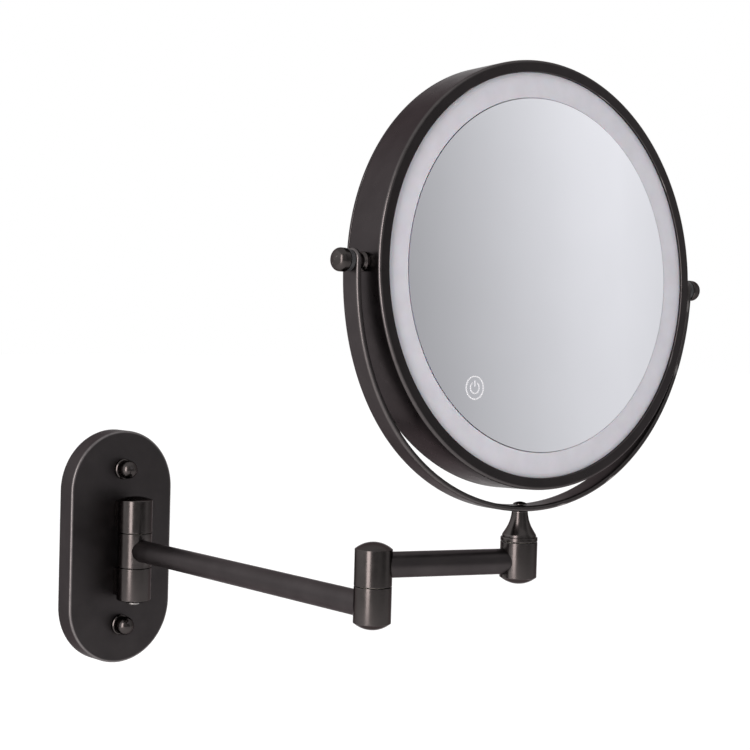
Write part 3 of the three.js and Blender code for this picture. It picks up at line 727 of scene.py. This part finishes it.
def wall_plate():
    inside = plate_depth - PLATE_WALL
    outline = [
        (plate_width / 4, inside),
        (PLATE_WALL, inside, 0.7),
        (PLATE_WALL, 0, 0.15),
        (0, 0, 0.3),
        (0, plate_depth, PLATE_EDGE),
        (plate_width / 4, plate_depth),
    ]
    plate = stadium_piece("plate_cover", outline, AT_WALL)
    foot = WALL_MIDDLE_HALF + SEAM + WALL_KNUCKLE_HEIGHT / 2
    for height, bore in ((FIXING_HEIGHT, FIXING_BORE), (foot, SCREW_BORE)):
        for z in (height, -height):
            drill(plate, bore, -1, plate_depth + 1, raised(AT_WALL, z))
    flatten(plate, AT_WALL)
    put(plate, "wall_base", PLATE_FINISH, "gunmetal_plate", "wall_plate")


def backing_plate():
    """Moulded plate flush with the wall, with a boss round each fixing."""
    inset = PLATE_WALL + GAP
    outline = [
        (plate_width / 4, 0),
        (inset, 0, 0.4),
        (inset, BACKING_DEPTH, 0.5),
        (plate_width / 4, BACKING_DEPTH),
    ]
    plate = stadium_piece("backing_moulding", outline, AT_WALL)
    for z in (FIXING_HEIGHT, -FIXING_HEIGHT):
        there = raised(AT_WALL, z)
        top = plate_depth - inset
        profile = [(0, 1), (BACKING_BOSS, 1), (BACKING_BOSS, top, 0.4), (0, top)]
        boss = turned("boss", profile, there)
        combine(plate, boss, "UNION")
        drill(plate, FIXING_BORE, -1, plate_depth, there)
    flatten(plate, AT_WALL)
    put(plate, "wall_base", BLACK, "black_plastic", "backing_plate")


def fixing(side, z):
    """Stepped collar and ball-shaped cap nut on one wall fixing."""
    there = raised(AT_WALL, z)
    low = plate_depth + GAP
    high = low + COLLAR_THICKNESS
    collar = [
        (FIXING_BORE, low),
        (COLLAR, low, 0.15),
        (COLLAR, high - COLLAR_STEP, 0.3),
        (COLLAR - COLLAR_BEVEL, high, 0.25),
        (FIXING_BORE, high),
    ]
    made = turned(f"collar_{side}", collar, there, closed=True)
    put(made, "wall_base", BARREL_FINISH, "gunmetal_barrel", f"fixing_collar_{side}")
    base = high + GAP
    centre = plate_depth + NUT_HEIGHT
    foot = math.sqrt(NUT_BALL**2 - (centre - base) ** 2)
    nut = [(FIXING_BORE, base), (foot - 0.15, base, 0.1)] + ball_points(NUT_BALL, centre, foot)
    nut += [(0, centre + NUT_BORE_TIP), (FIXING_BORE, centre + NUT_BORE_END)]
    made = turned(f"cap_nut_ball_{side}", nut, there, closed=True)
    put(made, "wall_base", BARREL_FINISH, "gunmetal_barrel", f"cap_nut_{side}")


def fixed_knuckle(side, up):
    """Fixed knuckle of the wall hinge, with its foot against the plate."""
    low = WALL_MIDDLE_HALF + SEAM
    high = low + WALL_KNUCKLE_HEIGHT
    where = AT_HINGE @ Matrix.Scale(up, 4, (0, 0, 1))
    inset, rise = 0.35, 0.12
    top = dome(WALL_BARREL - inset, WALL_DOME - rise, high + rise)
    body = [(0, low), (WALL_BARREL, low, EDGE), (WALL_BARREL, high - 0.1, 0.45)] + top
    knuckle = turned(f"wall_knuckle_{side}", body, where)
    foot_middle = (low + high) / 2
    foot_end = hinge_from_plate - GAP
    foot = slab("foot", FOOT_WIDTH, FOOT_HEIGHT, 0, foot_end, 0.6, foot_middle, where)
    combine(knuckle, foot, "UNION")
    through = high + 8
    pin_end = high - WALL_CAP if up > 0 else through
    drill(knuckle, WALL_PIN + GAP, low - 4, pin_end, where)
    screw = sideways(place(wall_hinge, (0, 1, 0))) @ Matrix.Translation((-up * foot_middle, 0, 0))
    drill(knuckle, SCREW_BORE, SCREW_STOP, hinge_from_plate + 1, screw)
    put(knuckle, "wall_base", BARREL_FINISH, "gunmetal_barrel", f"hinge_knuckle_{side}")


def slab(name, width, height, near, far, corner, middle_height, where, steps=4):
    """A block that runs along +Y from near to far, with its long edges rounded."""
    outline = []
    for cx, cz, start in ((1, 1, 0), (-1, 1, 90), (-1, -1, 180), (1, -1, 270)):
        for i in range(steps + 1):
            angle = math.radians(start + 90 * i / steps)
            x = cx * (width / 2 - corner) + corner * math.cos(angle)
            z = cz * (height / 2 - corner) + corner * math.sin(angle)
            outline.append((x, z))
    size = len(outline)
    verts = [(x, near, middle_height + z) for x, z in outline]
    verts += [(x, far, middle_height + z) for x, z in outline]
    faces = [(i, (i + 1) % size, size + (i + 1) % size, size + i) for i in range(size)]
    faces.append(tuple(reversed(range(size))))
    faces.append(tuple(range(size, 2 * size)))
    return make(name, verts, faces, where)


def wall_pin():
    """Hinge pin whose flat end, with a rounded edge, shows below the lower knuckle."""
    low = -(WALL_MIDDLE_HALF + SEAM + WALL_KNUCKLE_HEIGHT + WALL_PIN_REACH)
    high = WALL_MIDDLE_HALF + WALL_PIN_IN_UPPER
    outline = [
        (0, low),
        (WALL_PIN - WALL_PIN_BEVEL, low, 0.4),
        (WALL_PIN, low + WALL_PIN_BEVEL_HEIGHT, 0.5),
        (WALL_PIN, high, 0.3),
        (0, high),
    ]
    pin = turned("hinge_pin", outline, AT_HINGE)
    put(pin, "wall_base", PIN_STEEL, "plain_steel", "wall_hinge_pin")


# ---------- arms ----------


def middle_knuckle():
    half = WALL_MIDDLE_HALF
    bore = WALL_PIN + BUSH + 2 * GAP
    seat = WASHER + GAP
    body = [
        (seat, half),
        (seat, half - WASHER_SEAT),
        (bore, half - WASHER_SEAT),
        (bore, WASHER_SEAT - half),
        (seat, WASHER_SEAT - half),
        (seat, -half),
        (WALL_BARREL, -half, EDGE),
        (WALL_BARREL, half, EDGE),
    ]
    knuckle = turned("wall_knuckle_middle", body, ON_ARM_1, closed=True)
    drill(knuckle, TUBE + GAP / 2, WALL_BARREL - SOCKET - GAP, WALL_BARREL + 5, sideways(ON_ARM_1))
    put(knuckle, "arm_1", BARREL_FINISH, "gunmetal_barrel", "arm_1_wall_knuckle")


def arm_knuckle(name, node, body, where, bushed):
    """Knuckle at an arm's end: flat running face above, shallow dome below, the tube leaving along +X.

    A bushed one is bored for its bush and sunk for a washer; the other is bored for the pin fixed in it.
    """
    edge = 0.4
    cap = [(r, -BARREL_SHOULDER - h) for r, h in dome(BARREL - edge, BARREL_DOME, 0)]
    outline = cap[::-1] + [(BARREL, -BARREL_SHOULDER + edge / 2, edge), (BARREL, BARREL_FACE, EDGE)]
    if bushed:
        bore, bottom = PIN + 2 * GAP + BUSH, BARREL_FACE - BUSH_BORE_DEPTH
        seat = BARREL_FACE - WASHER_SEAT
        outline += [(WASHER + GAP, BARREL_FACE), (WASHER + GAP, seat), (bore, seat)]
    else:
        bore, bottom = PIN + GAP, BARREL_FACE - PIN_BORE_DEPTH
        outline += [(bore, BARREL_FACE)]
    outline += [(bore, bottom), (0, bottom)]
    knuckle = turned(name, outline, where)
    drill(knuckle, TUBE + GAP / 2, BARREL - SOCKET - GAP, BARREL + 5, sideways(where))
    put(knuckle, body, BARREL_FINISH, "gunmetal_barrel", node)


def tube(name, node, body, where, length, start_barrel):
    start = start_barrel - SOCKET
    end = length - (BARREL - SOCKET)
    inner = TUBE - TUBE_WALL
    outline = [(inner, start), (TUBE, start, 0.2), (TUBE, end, 0.2), (inner, end)]
    made = turned(name, outline, sideways(where), closed=True)
    put(made, body, TUBE_FINISH, "gunmetal_tube", node)


# ---------- yoke ----------


def swivel_neck():
    base = arm_2_start.z / MM + BARREL_FACE + SEAM
    top = band_bottom - GAP
    shoulder = base + NECK_BEAD
    outline = [(PIN + GAP, base), (BARREL, base, EDGE), (BARREL, shoulder, 0.45)]
    steps = 30
    for i in range(steps + 1):
        above = (top - shoulder) * i / steps
        flare = NECK_FLARE * math.exp(-((above / NECK_FLARE_LENGTH) ** NECK_FLARE_POWER))
        outline.append((min(NECK_TOP_RADIUS + flare, BARREL - NECK_LEDGE), shoulder + above))
    thread_end = top - NECK_THREAD_DEPTH
    pin_top = base + NECK_PIN_DEPTH
    outline += [(NECK_THREAD, top), (NECK_THREAD, thread_end), (0, thread_end)]
    outline += [(0, pin_top), (PIN + GAP, pin_top)]
    neck = turned("neck", outline, ON_NECK, closed=True)
    put(neck, "yoke", BARREL_FINISH, "gunmetal_barrel", "swivel_neck")


def yoke_screw():
    seat = band_bottom + YOKE_THICKNESS + GAP + 0.1
    low = band_bottom - GAP - YOKE_SCREW_LENGTH
    head = dome(YOKE_SCREW_HEAD, YOKE_SCREW_DOME, seat + 0.25)[1:]
    shank = [(0, low), (YOKE_SCREW, low, 0.3), (YOKE_SCREW, seat)]
    screw = turned("band_screw", shank + [(YOKE_SCREW_HEAD - 0.1, seat, 0.15)] + head, ON_NECK)
    put(screw, "yoke", BARREL_FINISH, "gunmetal_barrel", "yoke_screw")


def band_ring(inset, steps_end=24, steps_length=200):
    """Half of the strip's flat outline, from one round end to the other, as (length, half width)."""
    radius = YOKE_INNER + YOKE_THICKNESS / 2
    straight = math.pi * radius / 2
    half = YOKE_WIDTH / 2 - inset
    points = []
    for i in range(steps_end):
        angle = math.pi / 2 * i / steps_end
        points.append((-straight - half * math.cos(angle), half * math.sin(angle)))
    for i in range(steps_length + 1):
        points.append((-straight + 2 * straight * i / steps_length, half))
    for i in range(steps_end - 1, -1, -1):
        angle = math.pi / 2 * i / steps_end
        points.append((straight + half * math.cos(angle), half * math.sin(angle)))
    return points


def yoke_band():
    """Flat strip bent slightly fuller than a half circle, its edges rounded and its ends round."""
    middle_radius = YOKE_INNER + YOKE_THICKNESS / 2
    half = YOKE_THICKNESS / 2
    inside = YOKE_WIDTH / 4
    section = [(inside, -half), (0, -half, YOKE_EDGE), (0, half, YOKE_EDGE), (inside, half)]
    verts, faces, rings = [], [], []

    def bent(length, width, out):
        angle = length / middle_radius
        fullness = YOKE_DROP * math.cos(angle) ** 2 + YOKE_FULLNESS * math.sin(2 * angle) ** 2
        radius = middle_radius + out + fullness
        return (radius * math.sin(angle), width, -radius * math.cos(angle))

    for inset, out in rounded(section, False, 6):
        line = band_ring(inset)
        loop = line + [(length, -width) for length, width in line[-2:0:-1]]
        rings.append(list(range(len(verts), len(verts) + len(loop))))
        verts.extend(bent(length, width, out) for length, width in loop)
    size = len(rings[0])
    for low, high in zip(rings, rings[1:]):
        for i in range(size):
            j = (i + 1) % size
            faces.append((low[i], low[j], high[j], high[i]))
    last = size // 2
    for ring in (rings[0], rings[-1]):
        for i in range(last):
            far, near = (size - i) % size, (size - i - 1) % size
            face = [ring[i], ring[i + 1], ring[near], ring[far]]
            unique = list(dict.fromkeys(face))
            if len(unique) > 2:
                faces.append(tuple(unique))
    band = make("yoke_strip", verts, faces, ON_YOKE)
    reach = YOKE_INNER + YOKE_THICKNESS + 5
    drill(band, PIVOT_BORE, -reach, reach, PIVOT_RIGHT)
    drill(band, YOKE_SCREW_HOLE, -reach, -YOKE_INNER + 5, ON_YOKE)
    put(band, "yoke", BAND_FINISH, "gunmetal_tube", "yoke_band")


# ---------- head ----------


def head_rim():
    inner = RIM - RIM_WALL
    under_lip = RIM_FRONT - RIM_WALL
    outline = [
        (inner, -RIM_BACK, 0.2),
        (RIM, -RIM_BACK, 0.3),
        (RIM, RIM_FRONT, RIM_EDGE),
        (OPENING, RIM_FRONT, 0.45),
        (OPENING, under_lip, 0.2),
        (inner, under_lip, 0.4),
    ]
    rim = turned("rim", outline, ON_HEAD, LARGE, closed=True, steps=6)
    drill(rim, PIVOT_BORE, -RIM - 5, RIM + 5, PIVOT_RIGHT)
    put(rim, "head", RIM_FINISH, "gunmetal_rim", "head_rim")


def light_ring():
    low = DIFFUSER_FRONT - DIFFUSER_THICKNESS
    outline = [
        (MIRROR + GAP, low, 0.2),
        (DIFFUSER_OUTER, low, 0.2),
        (DIFFUSER_OUTER, DIFFUSER_FRONT, 0.2),
        (MIRROR + GAP, DIFFUSER_FRONT, 0.25),
    ]
    ring = turned("light_ring", outline, ON_HEAD, LARGE, closed=True)
    put(ring, "head", OPAL, "opal_plastic", "diffuser_ring")


def front_mirror():
    outline = [
        (0, GLASS_FRONT - GLASS),
        (MIRROR, GLASS_FRONT - GLASS, 0.2),
        (MIRROR, GLASS_FRONT),
        (0, GLASS_FRONT),
    ]
    glass = turned("front_glass", outline, ON_HEAD, LARGE)
    put(glass, "head", SILVERED, "silvered_glass", "front_mirror")


def flat_ring(inner, outer, base, thickness, centre, start=0.0, end=360.0, steps=96):
    """Vertices and faces of a thin flat ring, or of an arc of one with square ends."""
    whole = end - start >= 360
    count = steps if whole else steps + 1
    verts, faces = [], []
    top = base + thickness
    for i in range(count):
        angle = math.radians(start + (end - start) * i / steps)
        for radius, height in ((inner, base), (outer, base), (outer, top), (inner, top)):
            x = centre[0] + radius * math.cos(angle)
            y = centre[1] + radius * math.sin(angle)
            verts.append((x, y, height))
    for i in range(steps):
        j = (i + 1) % count
        for k in range(4):
            m = (k + 1) % 4
            faces.append((4 * i + k, 4 * i + m, 4 * j + m, 4 * j + k))
    if not whole:
        faces.append((3, 2, 1, 0))
        faces.append((4 * steps, 4 * steps + 1, 4 * steps + 2, 4 * steps + 3))
    return verts, faces


def touch_mark():
    """Thin white print over the touch switch: a ring with a plain on-off sign in it."""
    base = GLASS_FRONT + 0.01
    parts = [
        flat_ring(*TOUCH_RING, base, TOUCH_PRINT, TOUCH_PLACE),
        flat_ring(*TOUCH_ARC, base, TOUCH_PRINT, TOUCH_PLACE, *TOUCH_ARC_SPAN, steps=72),
    ]
    x, y = TOUCH_PLACE
    half, low, high = TOUCH_BAR
    corners = [(x - half, y + low), (x + half, y + low), (x + half, y + high), (x - half, y + high)]
    bar = [(cx, cy, height) for height in (base, base + TOUCH_PRINT) for cx, cy in corners]
    sides = [(i, (i + 1) % 4, 4 + (i + 1) % 4, 4 + i) for i in range(4)]
    parts.append((bar, sides + [(3, 2, 1, 0), (4, 5, 6, 7)]))
    verts, faces = [], []
    for part_verts, part_faces in parts:
        start = len(verts)
        verts.extend(part_verts)
        faces.extend(tuple(start + i for i in face) for face in part_faces)
    mark = make("touch_print", verts, faces, ON_HEAD)
    put(mark, "head", PRINT, "white_plastic")


def rear_mirror():
    """Magnifying glass, dished with its hollow side out."""
    steps = 24
    radii = [REAR_MIRROR * i / steps for i in range(steps + 1)]
    outer = [(r, -(RIM_BACK - REAR_SAG * (1 - (r / REAR_MIRROR) ** 2))) for r in radii]
    inner = [(radius, height + REAR_GLASS) for radius, height in reversed(outer)]
    glass = turned("rear_glass", outer + inner, ON_HEAD, LARGE)
    put(glass, "head", SILVERED, "silvered_glass", "rear_mirror")


def rear_bezel():
    lip = -(RIM_BACK + GAP)
    skirt = RIM - RIM_WALL - GAP
    skirt_inside = skirt - BEZEL_WALL
    skirt_end = BEZEL_SKIRT - RIM_BACK
    outline = [
        (BEZEL_OPENING, lip, 0.2),
        (BEZEL_OPENING, -BEZEL_BACK, 0.5),
        (RIM, -BEZEL_BACK, 0.9),
        (RIM, lip, 0.25),
        (skirt, lip),
        (skirt, skirt_end, 0.3),
        (skirt_inside, skirt_end, 0.3),
        (skirt_inside, lip),
    ]
    ring = turned("rear_ring", outline, ON_HEAD, LARGE, closed=True, steps=6)
    put(ring, "head", RIM_FINISH, "gunmetal_rim", "rear_bezel")


# ---------- pivots ----------


def pivot(side, where):
    """Turned spacer, friction washer and round-headed screw at one end of the yoke."""
    low = RIM + GAP + 0.1
    high = YOKE_INNER - GAP
    bore = PIVOT_SCREW + GAP
    boss = [
        (bore, low),
        (BOSS, low, 0.2),
        (BOSS, low + BOSS_FOOT, 0.35),
        (BOSS - BOSS_WAIST, low + BOSS_TAPER, 0.5),
        (BOSS - BOSS_WAIST, high - BOSS_BEAD, 0.4),
        (BOSS - BOSS_BEAD_STEP, high - BOSS_BEAD_FACE, 0.25),
        (BOSS - BOSS_BEAD_STEP, high, 0.2),
        (bore, high),
    ]
    made = turned(f"pivot_spacer_{side}", boss, where, closed=True)
    put(made, "head", BARREL_FINISH, "gunmetal_barrel", f"pivot_boss_{side}")
    face = YOKE_INNER + YOKE_THICKNESS + GAP
    top = face + PIVOT_WASHER_THICKNESS
    washer = [
        (PIVOT_BORE, face),
        (PIVOT_WASHER, face, 0.15),
        (PIVOT_WASHER, top, 0.15),
        (PIVOT_BORE, top),
    ]
    made = turned(f"pivot_friction_{side}", washer, where, closed=True)
    put(made, "yoke", BLACK, "black_plastic", f"pivot_washer_{side}")
    made = turned(f"pivot_head_{side}", knob_outline(top + GAP), where)
    put(made, "head", BARREL_FINISH, "gunmetal_barrel", f"pivot_knob_{side}")


def knob_outline(seat, corner_steps=16, crown_steps=8):
    """Screw shank, then a round head whose outer corner is an arc and whose end is slightly domed."""
    end = YOKE_INNER + YOKE_THICKNESS + KNOB_REACH
    outline = [
        (0, KNOB_SCREW_END),
        (PIVOT_SCREW, KNOB_SCREW_END, 0.3),
        (PIVOT_SCREW, seat),
        (PIVOT_WASHER, seat, 0.1),
        (KNOB, seat + KNOB_LEDGE, 0.3),
    ]
    for i in range(corner_steps + 1):
        angle = math.pi / 2 * i / corner_steps
        out = KNOB_ROUNDING * (1 - math.sin(angle))
        outline.append((KNOB - KNOB_ROUNDING * (1 - math.cos(angle)), end - KNOB_DOME - out))
    crown = KNOB - KNOB_ROUNDING
    for i in range(1, crown_steps + 1):
        left = 1 - i / crown_steps
        outline.append((crown * left, end - KNOB_DOME * left**2))
    return outline


# ---------- everything in its place ----------

STEEL_NODES = [
    "wall_stud_upper",
    "wall_stud_lower",
    "knuckle_screw_upper",
    "knuckle_screw_lower",
    "elbow_pin",
    "swivel_pin",
    "pivot_nut_right",
    "pivot_nut_left",
    "battery_contact_right",
    "battery_contact_left",
]
KEPT = [
    (STEEL, STEEL_NODES),
    (BRASS, ["arm_1_wall_bush", "elbow_bush", "swivel_bush"]),
    (NYLON, ["hinge_washer_upper", "hinge_washer_lower", "elbow_washer", "swivel_washer"]),
    (BLACK, ["touch_pad", "battery_holder"]),
    (WHITE, ["lamp_tray"]),
    (LAMP_BOARD, ["lamp_board"]),
    (DRIVER_BOARD, ["driver_board"]),
    (LED, [f"lamp_{i}" for i in range(1, 7)]),
    (JACKET, [f"battery_{i}" for i in range(1, 4)]),
]


def dress_kept_nodes():
    """CAD nodes whose shape is right as it is get their finish here."""
    for material, names in KEPT:
        for name in names:
            node = frame["nodes"][name]
            node.data.materials.clear()
            node.data.materials.append(material)


def build():
    wall_plate()
    backing_plate()
    fixing("upper", FIXING_HEIGHT)
    fixing("lower", -FIXING_HEIGHT)
    fixed_knuckle("upper", 1)
    fixed_knuckle("lower", -1)
    wall_pin()
    middle_knuckle()
    tube("first_tube", "arm_1_tube", "arm_1", ON_ARM_1, arm_1_length, WALL_BARREL)
    arm_knuckle("elbow_lower", "arm_1_elbow_knuckle", "arm_1", AT_ELBOW_1, bushed=True)
    arm_knuckle("elbow_upper", "arm_2_elbow_knuckle", "arm_2", AT_ELBOW_2, bushed=False)
    tube("second_tube", "arm_2_tube", "arm_2", ON_ARM_2, arm_2_length, BARREL)
    arm_knuckle("end_knuckle", "arm_2_end_knuckle", "arm_2", AT_END, bushed=True)
    swivel_neck()
    yoke_screw()
    yoke_band()
    head_rim()
    light_ring()
    front_mirror()
    touch_mark()
    rear_mirror()
    rear_bezel()
    pivot("right", PIVOT_RIGHT)
    pivot("left", PIVOT_LEFT)
    dress_kept_nodes()


# ---------- studio ----------

CENTRE = (cad_box[0] + cad_box[1]) / 2
FLOOR = -0.34
BACKDROP_RADIUS = 2.4

# How bright the studio is by direction, in degrees from +X in plan, and by height above the origin.
TONES = [
    (70, 1.0),
    (100, 1.3),
    (160, 1.45),
    (175, 1.2),
    (215, 0.6),
    (235, 0.42),
    (250, 0.45),
    (262, 0.62),
    (274, 0.4),
    (288, 0.27),
    (300, 0.31),
    (303.5, 0.44),
    (310.3, 0.77),
    (312.2, 0.805),
    (314, 0.74),
    (320, 0.86),
    (330, 0.6),
    (345, 0.5),
    (375, 0.75),
]
HEIGHT_TONES = [(FLOOR, 0.8), (0.0, 0.89), (0.38, 1.0), (0.8, 1.12), (2.6, 1.12)]


def backdrop_glow():
    """A material that glows as brightly as the mesh's own tone attribute says."""
    material = bpy.data.materials.new("backdrop_tones")
    material.use_nodes = True
    tree = material.node_tree
    tree.nodes.remove(tree.nodes["Principled BSDF"])
    glow = tree.nodes.new("ShaderNodeEmission")
    glow.inputs["Color"].default_value = (1, 1, 1, 1)
    read = tree.nodes.new("ShaderNodeAttribute")
    read.attribute_name = "tone"
    tree.links.new(read.outputs["Fac"], glow.inputs["Strength"])
    tree.links.new(glow.outputs["Emission"], tree.nodes["Material Output"].inputs["Surface"])
    return material


def floor():
    bpy.ops.mesh.primitive_plane_add(size=30, location=(0, 0, FLOOR))
    plane = bpy.context.object
    plane.name = "floor"
    s = Shader("pale_floor", roughness=0.9, specular=0.0)
    s.set("Base Color", s.mix(s.noise(300, 3), (0.93, 0.93, 0.93), (0.95, 0.95, 0.95)))
    s.surface.inputs["Emission Color"].default_value = (1, 1, 1, 1)
    s.surface.inputs["Emission Strength"].default_value = 0.12
    plane.data.materials.append(s.material)


def grey_wall():
    """A curved backdrop round the studio that the camera can't see and the mirror and metal reflect."""
    start, end = TONES[0][0], TONES[-1][0]
    verts, faces, tones = [], [], []
    for angle in range(start, end + 1):
        x = CENTRE.x + BACKDROP_RADIUS * math.cos(math.radians(angle))
        y = CENTRE.y + BACKDROP_RADIUS * math.sin(math.radians(angle))
        for height, gain in HEIGHT_TONES:
            verts.append((x, y, height))
            tones.append(tone_at(angle) * gain)
    rows = len(HEIGHT_TONES)
    for i in range(end - start):
        for j in range(rows - 1):
            corner = i * rows + j
            faces.append((corner, corner + 1, corner + rows + 1, corner + rows))
    mesh = bpy.data.meshes.new("backdrop")
    mesh.from_pydata(verts, [], faces)
    wall = bpy.data.objects.new("backdrop", mesh)
    bpy.context.scene.collection.objects.link(wall)
    values = mesh.attributes.new("tone", "FLOAT", "POINT")
    values.data.foreach_set("value", tones)
    mesh.materials.append(backdrop_glow())
    wall.visible_camera = False


def tone_at(angle):
    for (a, low), (b, high) in zip(TONES, TONES[1:]):
        if a <= angle <= b:
            return low + (high - low) * (angle - a) / (b - a)
    raise ValueError(f"no tone for {angle} degrees")


def strip_lamp():
    """A tall soft light to the camera's left that draws the streaks down the barrels and the rim."""
    angle, elevation = math.radians(201), math.radians(8)
    distance, width, height, radiance = 1.5, 0.5, 1.5, 10.5
    level = math.cos(elevation)
    way = Vector((math.cos(angle) * level, math.sin(angle) * level, math.sin(elevation)))
    data = bpy.data.lights.new("strip", "AREA")
    data.shape = "RECTANGLE"
    data.size, data.size_y = width, height
    data.energy = radiance * width * height * math.pi
    data.color = (1.0, 0.93, 0.91)
    light = bpy.data.objects.new("strip", data)
    light.location = CENTRE + way * distance
    light.rotation_euler = way.to_track_quat("Z", "Y").to_euler()
    light.visible_camera = False
    bpy.context.scene.collection.objects.link(light)


def studio():
    world = bpy.data.worlds.new("studio")
    world.use_nodes = True
    background = world.node_tree.nodes["Background"]
    background.inputs["Color"].default_value = (1, 1, 1, 1)
    background.inputs["Strength"].default_value = 1.0
    bpy.context.scene.world = world
    floor()
    grey_wall()
    strip_lamp()
    bpy.context.scene.view_settings.view_transform = "Standard"
    bpy.context.scene.view_settings.look = "None"


CAMERA_PLACE = (-0.54609, -0.82572, 0.13792)
CAMERA_TURN = (42.545, -1.88, 1.598)  # yaw, pitch and roll, in degrees
CAMERA_LENS = 78.63


def camera():
    """Level with the head and well to its left, as in the picture."""
    yaw, pitch, roll = (math.radians(v) for v in CAMERA_TURN)
    level = math.cos(pitch)
    forward = Vector((math.sin(yaw) * level, math.cos(yaw) * level, math.sin(pitch)))
    right = Vector((math.cos(yaw), -math.sin(yaw), 0))
    up = right.cross(forward)
    r = right * math.cos(roll) + up * math.sin(roll)
    u = up * math.cos(roll) - right * math.sin(roll)
    turn = Matrix((r, u, -forward)).transposed().to_4x4()
    turn.translation = Vector(CAMERA_PLACE)
    data = bpy.data.cameras.new("camera")
    data.lens = CAMERA_LENS
    data.sensor_width = 36
    data.clip_start = 0.01
    shot = bpy.data.objects.new("camera", data)
    bpy.context.scene.collection.objects.link(shot)
    shot.matrix_world = turn
    bpy.context.scene.camera = shot


build()
studio()
camera()
